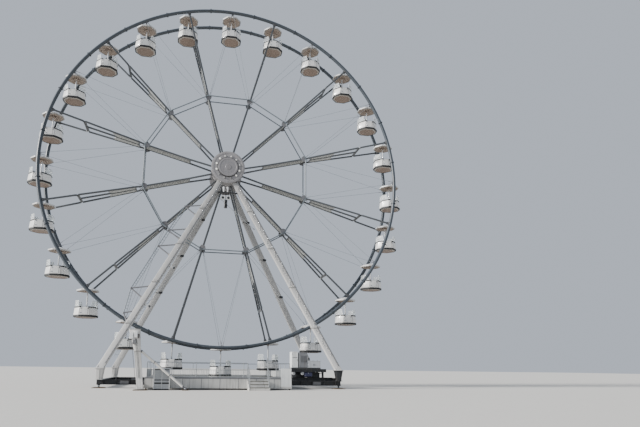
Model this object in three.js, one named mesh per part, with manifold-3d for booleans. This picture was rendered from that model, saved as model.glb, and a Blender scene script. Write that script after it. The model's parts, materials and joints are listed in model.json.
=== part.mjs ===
// A travelling Ferris wheel with 24 open gondolas, at full size, in millimetres.
// Frame: origin on the ground below the hub, +Z up, the wheel's axle along Y, the front towards -Y.
// Angles round the wheel are in degrees, clockwise from the top as seen from the front.
import * as THREE from "three";
import { mergeVertices } from "three/addons/utils/BufferGeometryUtils.js";
import Module from "manifold-3d";

const wasm = await Module();
wasm.setup();

// Driving dimensions
const HUB_HEIGHT = 19200;
const RIM_RADIUS = 16000;
const RIM_SPREAD = 1200; // from the middle plane to each rim's centre line
const RIM_HALF = 150; // half the thickness of a rim's tube
const RIM_SEGMENTS = 48;
const GONDOLAS = 24;
const SPOKES = 12;
const FIRST_SPOKE = 15;
const GAP = 0.4; // running gap, and the gap between bolted faces
const BITE = 10; // how far joined solids reach into each other

// Hub and axle
const HUB_APOTHEM = 1400;
const HUB_CORE = 560;
const FLANGE_Y = 600;
const FLANGE_HALF = 75;
const HUB_HALF = 740;
const AXLE_APOTHEM = 245;
const AXLE_SIDES = 16;
const AXLE_HALF = 1640;

// Spoke, by radius from the hub and half spread between its front and back chords
const CHORD = 100;
const CHORD_DEPTH = 150;
const SPOKE_ROOT = { r: HUB_APOTHEM + GAP, y: FLANGE_Y };
const SPOKE_WAIST = { r: 3500, y: 440 };
const SPOKE_NODE = { r: 7650, y: 440 };
const SPOKE_FORK = { r: 8250, y: 560 };
const SPOKE_ELBOW = { r: 13000, y: 990 };
const CROSS_BAR = 100;
const PANEL_END = 10600;
const PANEL_THICK = 30;
const RING_RADIUS = 7470;
const TIE = 110;

// Gondola, hung from its axle; heights are from the axle's centre
const TUB_FOOT = { x: 740, y: 600, cut: 370, z: -2400 };
const TUB_BAND = { x: 950, y: 800, cut: 510, low: -2330, high: -2200 };
const TUB_RAIL = { x: 870, y: 790, cut: 480, z: -1540 };
const TUB_SCREEN = { x: 850, y: 770, cut: 470, z: -1000 }; // the raised screens at both ends
const SCREEN_START = { low: 440, high: 510 }; // where a screen's edge rises, along X
const TUB_FLOOR = -2280;
const TUB_WALL = 60;
const CUT_SHARE = 2 - Math.SQRT2; // how fast an octagon's cut shrinks with its wall
const ROOF = { x: 880, y: 770, cut: 470, under: -190, edge: -60, crown: 160 };
const ROOF_CROWN = { x: 200, y: 200, cut: 110 };
const POLE = 120;
const GONDOLA_AXLE = 50;
const BRACKET = 40;
const BRACKET_SIDE = 220;

// Legs and heads
const LEG_TOP = { x: 330, y: 1150, z: HUB_HEIGHT - 700 };
const LEG_FOOT = { x: 9200, y: 4280, z: 1450 };
const LEG_WIDTH = 560;
const LEG_BLOCK = 640;
const LEG_DEPTH = 420;
const HEAD = { x: 700, inner: 900, outer: 1440, up: 640 };
const DISC_RADIUS = 1500;
const DISC_INNER = 900;
const DISC_Y = 1570;
const DISC_THICK = 70;
const DISC_BOSS = 160;

// Ground frame, jacks and pads
const BEAM = 350;
const BEAM_LOW = 250;
const BEAM_TOP = BEAM_LOW + BEAM;
const FRAME_X = 9200;
const FRAME_Y = 4280;
const CROSS_X = [2800, 5600];
const PAD = 450;
const PAD_THICK = 60;
const JACK = 110;

// Boarding deck, its railings and steps; the lane is the low strip below the gondolas
const DECK_TOP = 860;
const DECK_THICK = 60;
const DECK_LEFT = -5800;
const DECK_RIGHT = 4800;
const DECK_FRONT = -6800;
const DECK_BACK = 4100;
const LANE = 1120;
const LANE_TOP = 650;
const SKIRT = 40;
const SKIRT_LOW = 90;
const STILT = 120;
const STILT_TIE = { low: 130, high: 210 };
const SIGN_BOARD = { left: 3980, right: 4760, top: 1570 };
const RAIL = 50;
const RAIL_BAY = 1800;
const RAIL_HEIGHT = 1080;
const RAIL_SETBACK = 150;
const STEPS = 3;
const STEP_LEFT = 1500;
const STEP_RIGHT = 3000;
const STEP_RUN = 320;
const HANDRAIL = 950;

// Cabinets, and the raised bed of the machines
const LOUVRE_BOX = { left: -5130, right: -4020, front: -7500, back: DECK_FRONT - GAP, top: 1480 };
const BED = { left: 5400, right: 8300, front: -3950, back: -1750, top: 1550, thick: 260 };
const BED_RAIL = { inset: 250, wide: 180, tall: 240 };
const BED_POST = 180;
const CABINET = { left: 5420, right: 5980, front: -3850, back: -3100, top: 2900 };
const MACHINE = { left: 6060, right: 6750, front: -3850, back: -2300, top: 2850 };
const POWER_BOX = { left: MACHINE.right - BITE, right: 7850, front: -3850, back: -1850, top: 2200 };
const PLINTH = { depth: 200, tall: 90 };

// Leaning outrigger column at the left front corner, with its diagonal brace and its tie beam
const COLUMN_Y = -7700;
const COLUMN_FOOT = { x: -5980, half: 200, z: PAD_THICK / 2 };
const COLUMN_NECK = { x: -6300, half: 220, z: 2650 };
const COLUMN_HEAD = { x: -6580, half: 380, z: 4150 };
const COLUMN_DEPTH = 360;
const BRACE_TOP = { x: -6200, z: 2760 };
const BRACE_FOOT = { x: -2950, z: 110 };
const BRACE_RADIUS = 95;
const TIE_BEAM = { x: -6150, thick: 260 };

// Lamp bar between the front legs, and the guide rail beside the left front leg
const LAMP_BAR = { drop: 2400, y: -1560, thick: 130 };
const LAMP = { at: [-375, 110], radius: 210, half: 90, drop: 2890 };
const CONTROL_BOX = { x: -115, wide: 270, deep: 260, drop: 3100, tall: 720 };
const HANGER = 80;
const GUIDE = [
  { x: -3630, z: 15210 },
  { x: -4920, z: 12870 },
  { x: -7510, z: 7690 },
  { x: -7900, z: 5650 },
];
const GUIDE_BAR = 70;
const BRACKET_UP = 250;
const BRACKET_DOWN = 900;

const paint = (color, roughness = 0.5, metalness = 0.1) =>
  new THREE.MeshStandardMaterial({ color, roughness, metalness });
const rimBlue = paint(0x3c4854, 0.45, 0.3);
const spokeGrey = paint(0x9a9d9e, 0.5, 0.3);
const legGrey = paint(0xd8d5cd, 0.45);
const hubGrey = paint(0x9c9c9e, 0.5, 0.2);
const tubWhite = paint(0xe8e6e2, 0.35);
const steelGrey = paint(0x6a6d70, 0.5, 0.5);
const darkSteel = paint(0x2c2f33, 0.6, 0.4);
const deckGrey = paint(0x8e8c88, 0.7);
const panelWhite = paint(0xdfe0e0, 0.5);

const radians = (degrees) => (degrees * Math.PI) / 180;

// Turns a closed three.js geometry into a solid
function solid(geometry) {
  const bare = geometry.index ? geometry.toNonIndexed() : geometry.clone();
  bare.deleteAttribute("normal");
  bare.deleteAttribute("uv");
  const merged = mergeVertices(bare, 0.01);
  return new wasm.Manifold(
    new wasm.Mesh({
      numProp: 3,
      vertProperties: merged.attributes.position.array,
      triVerts: new Uint32Array(merged.index.array),
    }),
  );
}

const join = (parts) => parts.reduce((whole, part) => whole.add(part));

// Gives a solid back as a named mesh
function piece(name, body, material) {
  const { vertProperties, triVerts } = body.getMesh();
  const geometry = new THREE.BufferGeometry();
  geometry.setAttribute("position", new THREE.BufferAttribute(vertProperties, 3));
  geometry.setIndex(new THREE.BufferAttribute(triVerts, 1));
  geometry.computeVertexNormals();
  const mesh = new THREE.Mesh(geometry, material);
  mesh.name = name;
  return mesh;
}

// A solid between rings of points, each ring counter-clockwise seen from the far end of the stack
function loft(rings) {
  const count = rings[0].length;
  const points = rings.flat(2);
  const faces = [];
  for (let i = 1; i < count - 1; i++) {
    faces.push(0, i + 1, i);
    const last = (rings.length - 1) * count;
    faces.push(last, last + i, last + i + 1);
  }
  for (let ring = 0; ring + 1 < rings.length; ring++) {
    for (let i = 0; i < count; i++) {
      const a = ring * count + i;
      const b = ring * count + ((i + 1) % count);
      faces.push(a, b, b + count, a, b + count, a + count);
    }
  }
  const geometry = new THREE.BufferGeometry();
  geometry.setAttribute("position", new THREE.Float32BufferAttribute(points, 3));
  geometry.setIndex(faces);
  return solid(geometry);
}

// A box given by its low and high corners
function block([x0, y0, z0], [x1, y1, z1]) {
  const geometry = new THREE.BoxGeometry(x1 - x0, y1 - y0, z1 - z0);
  geometry.translate((x0 + x1) / 2, (y0 + y1) / 2, (z0 + z1) / 2);
  return solid(geometry);
}

// A straight bar from a to b, wide along the side direction and deep across it
function bar(a, b, wide, deep = wide, side = [0, 1, 0]) {
  const from = new THREE.Vector3(...a);
  const run = new THREE.Vector3(...b).sub(from);
  const geometry = new THREE.BoxGeometry(deep, wide, run.length());
  const along = run.clone().normalize();
  const across = new THREE.Vector3().crossVectors(new THREE.Vector3(...side), along).normalize();
  const up = new THREE.Vector3().crossVectors(along, across);
  geometry.applyMatrix4(new THREE.Matrix4().makeBasis(across, up, along));
  const middle = from.addScaledVector(run, 0.5);
  geometry.translate(middle.x, middle.y, middle.z);
  return solid(geometry);
}

// A round bar from a to b
function rod(a, b, radius, sides = 8) {
  const from = new THREE.Vector3(...a);
  const run = new THREE.Vector3(...b).sub(from);
  const geometry = new THREE.CylinderGeometry(radius, radius, run.length(), sides);
  const turn = new THREE.Quaternion().setFromUnitVectors(
    new THREE.Vector3(0, 1, 0),
    run.clone().normalize(),
  );
  geometry.applyQuaternion(turn);
  const middle = from.addScaledVector(run, 0.5);
  geometry.translate(middle.x, middle.y, middle.z);
  return solid(geometry);
}

// A prism round the Y axis with flats at the spoke angles, or a ring if it has a bore
function drum(apothem, low, high, sides = SPOKES) {
  const radius = apothem / Math.cos(Math.PI / sides);
  const geometry = new THREE.CylinderGeometry(radius, radius, high - low, sides);
  geometry.translate(0, (low + high) / 2, 0);
  return solid(geometry);
}

// The eight corners of an octagon with cut corners, at one height
function octagon({ x, y, cut }, z) {
  const quarter = [
    [x, y - cut],
    [x - cut, y],
  ];
  const turned = quarter.map(([px, py]) => [-px, py]).reverse();
  const half = [...quarter, ...turned];
  const rest = half.map(([px, py]) => [-px, -py]);
  return [...half, ...rest].map(([px, py]) => [px, py, z]);
}

// One rim: a tube of eight sides, with a bearing bracket for each gondola axle
function rim(side) {
  const corner = RIM_HALF / Math.cos(Math.PI / 8);
  const outline = [];
  for (let i = 0; i <= 8; i++) {
    const angle = Math.PI / 8 + (i % 8) * (Math.PI / 4);
    outline.push(
      new THREE.Vector2(
        RIM_RADIUS + corner * Math.cos(angle),
        side * RIM_SPREAD + corner * Math.sin(angle),
      ),
    );
  }
  const half = Math.PI / RIM_SEGMENTS;
  const tube = solid(new THREE.LatheGeometry(outline, RIM_SEGMENTS, half));
  const inner = RIM_SPREAD - RIM_HALF;
  const parts = [tube];
  for (let i = 0; i < GONDOLAS; i++) {
    const at = block(
      [-BRACKET_SIDE / 2, inner - BRACKET, -BRACKET_SIDE / 2],
      [BRACKET_SIDE / 2, inner + RIM_HALF / 2, BRACKET_SIDE / 2],
    );
    const placed = side < 0 ? at.rotate([0, 0, 180]) : at;
    parts.push(placed.translate([0, 0, RIM_RADIUS]).rotate([0, (i * 360) / GONDOLAS, 0]));
  }
  return join(parts);
}

// One chord's run between two stations, with end faces square to the radius
function chordRun(from, to, side) {
  const ring = ({ r, y }) => {
    const middle = side * y;
    return [
      [-CHORD_DEPTH / 2, middle - CHORD / 2, r],
      [CHORD_DEPTH / 2, middle - CHORD / 2, r],
      [CHORD_DEPTH / 2, middle + CHORD / 2, r],
      [-CHORD_DEPTH / 2, middle + CHORD / 2, r],
    ];
  };
  return loft([ring(from), ring(to)]);
}

// A bar across a spoke from chord to chord, at one station
function crossBar({ r, y }) {
  return block([-CROSS_BAR / 2, -y, r - CROSS_BAR / 2], [CROSS_BAR / 2, y, r + CROSS_BAR / 2]);
}

// One forked spoke, along +Z from the hub
function spoke() {
  const rimFace = (RIM_RADIUS - RIM_HALF) * Math.cos(Math.PI / RIM_SEGMENTS);
  const tip = { r: rimFace - GAP, y: RIM_SPREAD };
  const stations = [SPOKE_ROOT, SPOKE_WAIST, SPOKE_NODE, SPOKE_FORK, SPOKE_ELBOW, tip];
  const parts = [SPOKE_WAIST, SPOKE_NODE, SPOKE_FORK, SPOKE_ELBOW].map(crossBar);
  for (const side of [-1, 1]) {
    for (let i = 0; i + 1 < stations.length; i++) {
      parts.push(chordRun(stations[i], stations[i + 1], side));
    }
  }
  const middle = [0, 0, SPOKE_FORK.r];
  parts.push(bar(middle, [0, 0, SPOKE_ELBOW.r], CHORD, CHORD_DEPTH));
  const panelHalf = SPOKE_NODE.y;
  parts.push(
    block([-PANEL_THICK / 2, -panelHalf, SPOKE_WAIST.r], [PANEL_THICK / 2, panelHalf, SPOKE_NODE.r]),
    block([-PANEL_THICK / 2, -SPOKE_FORK.y, SPOKE_FORK.r], [PANEL_THICK / 2, SPOKE_FORK.y, PANEL_END]),
  );
  return join(parts);
}

// The straight ties between neighbouring spokes, as one ring at the front or the back
function tieRing(side) {
  const middle = side * (SPOKE_NODE.y + CHORD / 2 + GAP + TIE / 2);
  const low = middle - TIE / 2;
  const high = middle + TIE / 2;
  const outline = [
    new THREE.Vector2(RING_RADIUS - TIE, low),
    new THREE.Vector2(RING_RADIUS, low),
    new THREE.Vector2(RING_RADIUS, high),
    new THREE.Vector2(RING_RADIUS - TIE, high),
    new THREE.Vector2(RING_RADIUS - TIE, low),
  ];
  return solid(new THREE.LatheGeometry(outline, SPOKES, radians(FIRST_SPOKE)));
}

// The hub: a drum with a bore, and the two flanges that carry the spoke roots
function hub() {
  const flange = (side) =>
    drum(HUB_APOTHEM, side * FLANGE_Y - FLANGE_HALF, side * FLANGE_Y + FLANGE_HALF);
  const body = join([drum(HUB_CORE, -HUB_HALF, HUB_HALF, 16), flange(-1), flange(1)]);
  const corner = AXLE_APOTHEM / Math.cos(Math.PI / AXLE_SIDES);
  const bore = drum(corner + GAP, -HUB_HALF - BITE, HUB_HALF + BITE, AXLE_SIDES);
  return body.subtract(bore.rotate([0, 180 / AXLE_SIDES, 0]));
}

// An open octagonal tub with raised ends, a floor, a central pole, a roof and its axle
function gondola() {
  const inset = ({ x, y, cut }) => ({
    x: x - TUB_WALL,
    y: y - TUB_WALL,
    cut: cut - TUB_WALL * CUT_SHARE,
  });
  const outside = loft([
    octagon(TUB_FOOT, TUB_FOOT.z),
    octagon(TUB_BAND, TUB_BAND.low),
    octagon(TUB_BAND, TUB_BAND.high),
    octagon(TUB_RAIL, TUB_RAIL.z),
    octagon(TUB_SCREEN, TUB_SCREEN.z),
  ]);
  const inside = loft([
    octagon(inset(TUB_BAND), TUB_FLOOR),
    octagon(inset(TUB_BAND), TUB_BAND.high),
    octagon(inset(TUB_RAIL), TUB_RAIL.z),
    octagon(inset(TUB_SCREEN), TUB_SCREEN.z + BITE),
  ]);
  const { low, high } = SCREEN_START;
  const notch = loft([-TUB_BAND.y, TUB_BAND.y].map((y) => [
    [-low, y, TUB_RAIL.z],
    [-high, y, TUB_SCREEN.z],
    [-high, y, TUB_SCREEN.z + BITE],
    [high, y, TUB_SCREEN.z + BITE],
    [high, y, TUB_SCREEN.z],
    [low, y, TUB_RAIL.z],
  ]));
  const roof = loft([
    octagon(ROOF, ROOF.under),
    octagon(ROOF, ROOF.edge),
    octagon(ROOF_CROWN, ROOF.crown),
  ]);
  const pole = block([-POLE / 2, -POLE / 2, TUB_FLOOR - BITE], [POLE / 2, POLE / 2, ROOF.edge]);
  const reach = RIM_SPREAD - RIM_HALF - BRACKET - GAP;
  const axle = bar([0, -reach, 0], [0, reach, 0], GONDOLA_AXLE * 2, GONDOLA_AXLE * 2, [1, 0, 0]);
  return join([outside.subtract(inside).subtract(notch), roof, pole, axle]);
}

// One leg: a box beam with level ends, from the head down to its foot
function leg(sideX, sideY) {
  const ring = ({ x, y, z }) => {
    const halfX = LEG_WIDTH / 2;
    const halfY = LEG_DEPTH / 2;
    return [
      [sideX * x - halfX, sideY * y - halfY, z],
      [sideX * x + halfX, sideY * y - halfY, z],
      [sideX * x + halfX, sideY * y + halfY, z],
      [sideX * x - halfX, sideY * y + halfY, z],
    ];
  };
  return loft([ring(LEG_FOOT), ring(LEG_TOP)]);
}

// The centre of a leg at a height
function legCentre(sideX, sideY, z) {
  const t = (z - LEG_FOOT.z) / (LEG_TOP.z - LEG_FOOT.z);
  const x = LEG_FOOT.x + t * (LEG_TOP.x - LEG_FOOT.x);
  const y = LEG_FOOT.y + t * (LEG_TOP.y - LEG_FOOT.y);
  return [sideX * x, sideY * y, z];
}

// The guide rail that runs beside the left front leg on triangular brackets
function guideRail() {
  const tip = ({ x, z }) => [x, legCentre(-1, -1, z)[1], z];
  const parts = [];
  for (const station of GUIDE) {
    const end = tip(station);
    parts.push(bar(end, legCentre(-1, -1, station.z + BRACKET_UP), GUIDE_BAR));
    parts.push(bar(end, legCentre(-1, -1, station.z - BRACKET_DOWN), GUIDE_BAR));
  }
  for (let i = 0; i + 1 < GUIDE.length; i++) {
    parts.push(bar(tip(GUIDE[i]), tip(GUIDE[i + 1]), GUIDE_BAR));
  }
  return join(parts);
}

// The bearing head on a pair of legs, bored for the axle
function head(side) {
  const low = Math.min(side * HEAD.inner, side * HEAD.outer);
  const high = Math.max(side * HEAD.inner, side * HEAD.outer);
  const body = block(
    [-HEAD.x, low, LEG_TOP.z + GAP],
    [HEAD.x, high, HUB_HEIGHT + HEAD.up],
  );
  const bore = drum(AXLE_APOTHEM + GAP, low - BITE, high + BITE, AXLE_SIDES);
  return body.subtract(bore.translate([0, 0, HUB_HEIGHT]));
}

// The round cover outside a head
function disc(side) {
  const cylinder = (apothem, from, to) =>
    drum(apothem, Math.min(side * from, side * to), Math.max(side * from, side * to), 24);
  const body = cylinder(DISC_RADIUS, DISC_Y, DISC_Y + DISC_THICK).add(
    cylinder(DISC_INNER, DISC_Y, DISC_Y + DISC_BOSS),
  );
  const from = side * (DISC_Y - BITE);
  const to = side * (AXLE_HALF + GAP);
  const low = Math.min(from, to);
  return body.subtract(drum(AXLE_APOTHEM + GAP, low, low + Math.abs(to - from), AXLE_SIDES));
}

// A jack post on its pad, up into the beam above it
function jack(x, y) {
  return [
    block([x - PAD, y - PAD, 0], [x + PAD, y + PAD, PAD_THICK]),
    rod([x, y, PAD_THICK - BITE], [x, y, BEAM_LOW + BITE], JACK),
  ];
}

// A square of points round a centre
const square = (x, y, half, z) => [
  [x - half, y - half, z],
  [x + half, y - half, z],
  [x + half, y + half, z],
  [x - half, y + half, z],
];

// The ground frame: long and cross beams, the blocks below the legs, jacks and pads
function baseFrame() {
  const half = BEAM / 2;
  const parts = jack(0, 0);
  for (const y of [-FRAME_Y, FRAME_Y]) {
    parts.push(block([-FRAME_X - half, y - half, BEAM_LOW], [FRAME_X + half, y + half, BEAM_TOP]));
  }
  const crossings = [...CROSS_X, FRAME_X].flatMap((x) => [-x, x]);
  for (const x of [0, ...crossings]) {
    parts.push(block([x - half, -FRAME_Y, BEAM_LOW], [x + half, FRAME_Y, BEAM_TOP]));
  }
  for (const x of [-FRAME_X, FRAME_X]) {
    for (const y of [-FRAME_Y, FRAME_Y]) {
      const low = square(x, y, half, BEAM_TOP - BITE);
      const top = square(x, y, LEG_BLOCK / 2, LEG_FOOT.z - GAP);
      parts.push(loft([low, top]), ...jack(x, y));
    }
  }
  return join(parts);
}

// The boarding deck: two raised plates beside the low lane, bearers, stilts, skirt and sign board
function deck() {
  const under = DECK_TOP - DECK_THICK;
  const rest = BEAM_TOP + GAP;
  const slab = (front, back, low, high) =>
    block([DECK_LEFT, front, low], [DECK_RIGHT, back, high]);
  const parts = [
    slab(DECK_FRONT, -LANE, under, DECK_TOP),
    slab(LANE, DECK_BACK, under, DECK_TOP),
    slab(-LANE - SKIRT, LANE + SKIRT, rest, LANE_TOP),
    slab(-LANE - SKIRT, -LANE, LANE_TOP - BITE, under + BITE),
    slab(LANE, LANE + SKIRT, LANE_TOP - BITE, under + BITE),
    slab(DECK_FRONT, DECK_FRONT + SKIRT, SKIRT_LOW, under + BITE),
  ];
  const { left, right, top } = SIGN_BOARD;
  parts.push(block([left, DECK_FRONT, under], [right, DECK_FRONT + SKIRT, top]));
  for (const y of [-FRAME_Y, DECK_BACK - STILT]) {
    parts.push(slab(y - STILT / 2, y + STILT / 2, rest, under + BITE));
  }
  const y = DECK_FRONT + 2 * STILT;
  const half = STILT / 2;
  const { low, high } = STILT_TIE;
  for (const x of [DECK_LEFT + STILT, -CROSS_X[0], 0, CROSS_X[0], DECK_RIGHT - STILT]) {
    parts.push(block([x - half, y - half, 0], [x + half, y + half, under + BITE]));
    parts.push(block([x - half, DECK_FRONT + BITE, low], [x + half, y, high]));
  }
  return join(parts);
}

// An upright of a railing
function railPost(x, y, low, high) {
  const half = RAIL / 2;
  return block([x - half, y - half, low], [x + half, y + half, high]);
}

// A railing along a run of corner points, with a gap between two x values where it has a gate
function railing(run, gate) {
  const foot = DECK_TOP + GAP;
  const top = DECK_TOP + RAIL_HEIGHT;
  const sill = foot + RAIL / 2;
  const heights = [sill, (foot + top) / 2, top - RAIL / 2];
  const parts = [];
  const rails = (a, b, levels) => {
    for (const z of levels) {
      parts.push(bar([...a, z], [...b, z], RAIL, RAIL, [0, 0, 1]));
    }
  };
  for (let i = 0; i + 1 < run.length; i++) {
    const [a, b] = [run[i], run[i + 1]];
    const gated = gate && a[1] === gate.y && b[1] === gate.y;
    const bays = Math.round(Math.hypot(b[0] - a[0], b[1] - a[1]) / RAIL_BAY);
    for (let k = 0; k <= bays; k++) {
      const [x, y] = [0, 1].map((axis) => a[axis] + (k / bays) * (b[axis] - a[axis]));
      const open = gated && x > gate.left && x < gate.right;
      if (!open) parts.push(railPost(x, y, foot, top));
    }
    if (!gated) {
      rails(a, b, heights);
      continue;
    }
    const ends = [[gate.left, gate.y], [gate.right, gate.y]];
    rails(a, ends[0], heights);
    rails(ends[1], b, heights);
    rails(ends[0], ends[1], [sill]);
    parts.push(...ends.map(([x, y]) => railPost(x, y, foot, top)));
  }
  return join(parts);
}

// The entry steps, a solid flight with a handrail at each side
function steps() {
  const rise = DECK_TOP / (STEPS + 1);
  const face = DECK_FRONT - GAP;
  const parts = [];
  for (let i = 0; i < STEPS; i++) {
    const front = face - (STEPS - i) * STEP_RUN;
    parts.push(block([STEP_LEFT, front, 0], [STEP_RIGHT, face, (i + 1) * rise]));
  }
  const lowY = face - (STEPS - 0.5) * STEP_RUN;
  const highY = face - 0.5 * STEP_RUN;
  for (const x of [STEP_LEFT + RAIL, STEP_RIGHT - RAIL]) {
    const foot = [x, lowY, rise + HANDRAIL];
    const head = [x, highY, STEPS * rise + HANDRAIL];
    parts.push(railPost(x, lowY, rise - BITE, foot[2]));
    parts.push(railPost(x, highY, STEPS * rise - BITE, head[2]));
    parts.push(bar(foot, head, RAIL, RAIL, [1, 0, 0]));
  }
  return join(parts);
}

// A box from one of the cabinet sizes
const cabinetBox = ({ left, right, front, back, top }, low) =>
  block([left, front, low], [right, back, top]);

// The raised bed of the machines, on two rails that cross the ground frame
function machineBed() {
  const low = BEAM_TOP + GAP;
  const under = BED.top - BED.thick;
  const { inset, wide, tall } = BED_RAIL;
  const parts = [block([BED.left, BED.front, under], [BED.right, BED.back, BED.top])];
  for (const y of [BED.front + inset, BED.back - inset]) {
    const end = [FRAME_X + BEAM / 2, y + wide / 2, low + tall];
    parts.push(block([BED.left, y - wide / 2, low], end));
    for (const x of [BED.left + inset, (BED.left + BED.right) / 2, BED.right - inset]) {
      const half = BED_POST / 2;
      parts.push(
        block([x - half, y - half, low + tall - BITE], [x + half, y + half, under + BITE]),
      );
    }
  }
  return join(parts);
}

// The cabinets on the bed: a tall one, a machine housing and a low power box, on one plinth
function machineCabinets() {
  const low = BED.top + GAP;
  const back = CABINET.front + PLINTH.depth;
  const plinth = block([CABINET.left, CABINET.front, low], [POWER_BOX.right, back, low + PLINTH.tall]);
  return join([plinth, ...[CABINET, MACHINE, POWER_BOX].map((box) => cabinetBox(box, low))]);
}

// The outrigger column on its pad, with a tie beam to the ground frame and a diagonal brace
function outriggerColumn() {
  const front = COLUMN_Y - COLUMN_DEPTH / 2;
  const back = COLUMN_Y + COLUMN_DEPTH / 2;
  const ring = ({ x, half, z }) => [
    [x - half, front, z],
    [x + half, front, z],
    [x + half, back, z],
    [x - half, back, z],
  ];
  const pad = (x, half) =>
    block([x - half, COLUMN_Y - half, 0], [x + half, COLUMN_Y + half, PAD_THICK]);
  const { x: tieX, thick } = TIE_BEAM;
  const tieEnd = [tieX + thick / 2, -FRAME_Y - BEAM / 2 - GAP, BEAM_LOW + thick];
  const braceTop = [BRACE_TOP.x, COLUMN_Y, BRACE_TOP.z];
  const braceFoot = [BRACE_FOOT.x, COLUMN_Y, BRACE_FOOT.z];
  return join([
    loft([ring(COLUMN_FOOT), ring(COLUMN_NECK), ring(COLUMN_HEAD)]),
    pad(COLUMN_FOOT.x, PAD),
    block([tieX - thick / 2, COLUMN_Y, BEAM_LOW], tieEnd),
    rod(braceTop, braceFoot, BRACE_RADIUS),
    pad(BRACE_FOOT.x, PAD / 2),
  ]);
}

// The bar between the front legs, with two round lamps and a box that hang below it
function lampBar() {
  const z = HUB_HEIGHT - LAMP_BAR.drop;
  const half = LAMP_BAR.thick / 2;
  const { y } = LAMP_BAR;
  const reach = legCentre(1, -1, z)[0] - LEG_WIDTH / 2 - GAP;
  const slope = (LEG_FOOT.x - LEG_TOP.x) / (LEG_TOP.z - LEG_FOOT.z);
  const end = (side) => [
    [side * (reach + slope * half), y - half, z - half],
    [side * (reach + slope * half), y + half, z - half],
    [side * (reach - slope * half), y + half, z + half],
    [side * (reach - slope * half), y - half, z + half],
  ];
  const parts = [loft([end(-1), end(1)])];
  const hanger = (x, low) => {
    const side = HANGER / 2;
    parts.push(block([x - side, y - side, low], [x + side, y + side, z]));
  };
  const lampZ = HUB_HEIGHT - LAMP.drop;
  for (const x of LAMP.at) {
    parts.push(rod([x, y - LAMP.half, lampZ], [x, y + LAMP.half, lampZ], LAMP.radius, 12));
    hanger(x, lampZ);
  }
  const { x, wide, deep, drop, tall } = CONTROL_BOX;
  const top = HUB_HEIGHT - drop;
  parts.push(block([x - wide / 2, y - deep / 2, top - tall], [x + wide / 2, y + deep / 2, top]));
  hanger(x, top - BITE);
  return join(parts);
}

const wheel = new THREE.Group();
wheel.position.z = HUB_HEIGHT;
wheel.add(piece("hub", hub(), hubGrey));
wheel.add(piece("rim_front", rim(-1), rimBlue));
wheel.add(piece("rim_back", rim(1), rimBlue));
wheel.add(piece("ring_front", tieRing(-1), spokeGrey));
wheel.add(piece("ring_back", tieRing(1), spokeGrey));

const number = (i) => String(i + 1).padStart(2, "0");
const spokeBody = spoke();
for (let i = 0; i < SPOKES; i++) {
  const mesh = piece(`spoke_${number(i)}`, spokeBody, spokeGrey);
  mesh.rotation.y = radians(FIRST_SPOKE + (i * 360) / SPOKES);
  wheel.add(mesh);
}

const gondolaBody = gondola();
for (let i = 0; i < GONDOLAS; i++) {
  const mesh = piece(`gondola_${number(i)}`, gondolaBody, tubWhite);
  const angle = radians((i * 360) / GONDOLAS);
  mesh.position.set(RIM_RADIUS * Math.sin(angle), 0, RIM_RADIUS * Math.cos(angle));
  wheel.add(mesh);
}

const base = new THREE.Group();
base.add(piece("base_frame", baseFrame(), darkSteel));
for (const [sideY, end] of [[-1, "front"], [1, "back"]]) {
  base.add(piece(`head_${end}`, head(sideY), legGrey));
  base.add(piece(`disc_${end}`, disc(sideY).translate([0, 0, HUB_HEIGHT]), hubGrey));
  for (const [sideX, hand] of [[-1, "left"], [1, "right"]]) {
    const body = leg(sideX, sideY);
    const guided = sideX < 0 && sideY < 0 ? body.add(guideRail()) : body;
    base.add(piece(`leg_${end}_${hand}`, guided, legGrey));
  }
}
const axleBody = drum(AXLE_APOTHEM, -AXLE_HALF, AXLE_HALF, AXLE_SIDES);
base.add(piece("axle", axleBody.translate([0, 0, HUB_HEIGHT]), steelGrey));

base.add(piece("lamp_bar", lampBar(), steelGrey));
base.add(piece("deck", deck(), deckGrey));
const railX = [DECK_LEFT + RAIL_SETBACK, DECK_RIGHT - RAIL_SETBACK];
const railFront = DECK_FRONT + RAIL_SETBACK;
const railBack = DECK_BACK - RAIL_SETBACK;
const laneSide = LANE + RAIL_SETBACK;
const gate = { y: railFront, left: STEP_LEFT, right: STEP_RIGHT };
const frontRun = [
  [railX[0], -laneSide],
  [railX[0], railFront],
  [railX[1], railFront],
  [railX[1], -laneSide],
];
const backRun = [
  [railX[0], laneSide],
  [railX[0], railBack],
  [railX[1], railBack],
  [railX[1], laneSide],
];
base.add(piece("railing_front", railing(frontRun, gate), steelGrey));
base.add(piece("railing_back", railing(backRun), steelGrey));
base.add(piece("entry_steps", steps(), steelGrey));
base.add(piece("louvre_cabinet", cabinetBox(LOUVRE_BOX, 0), panelWhite));
base.add(piece("machine_bed", machineBed(), darkSteel));
base.add(piece("machine_cabinets", machineCabinets(), panelWhite));
base.add(piece("outrigger_column", outriggerColumn(), legGrey));

const ferrisWheel = new THREE.Group();
ferrisWheel.add(wheel, base);

export default ferrisWheel;
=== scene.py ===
import json
import math

import bpy
from mathutils import Matrix, Vector

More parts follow.
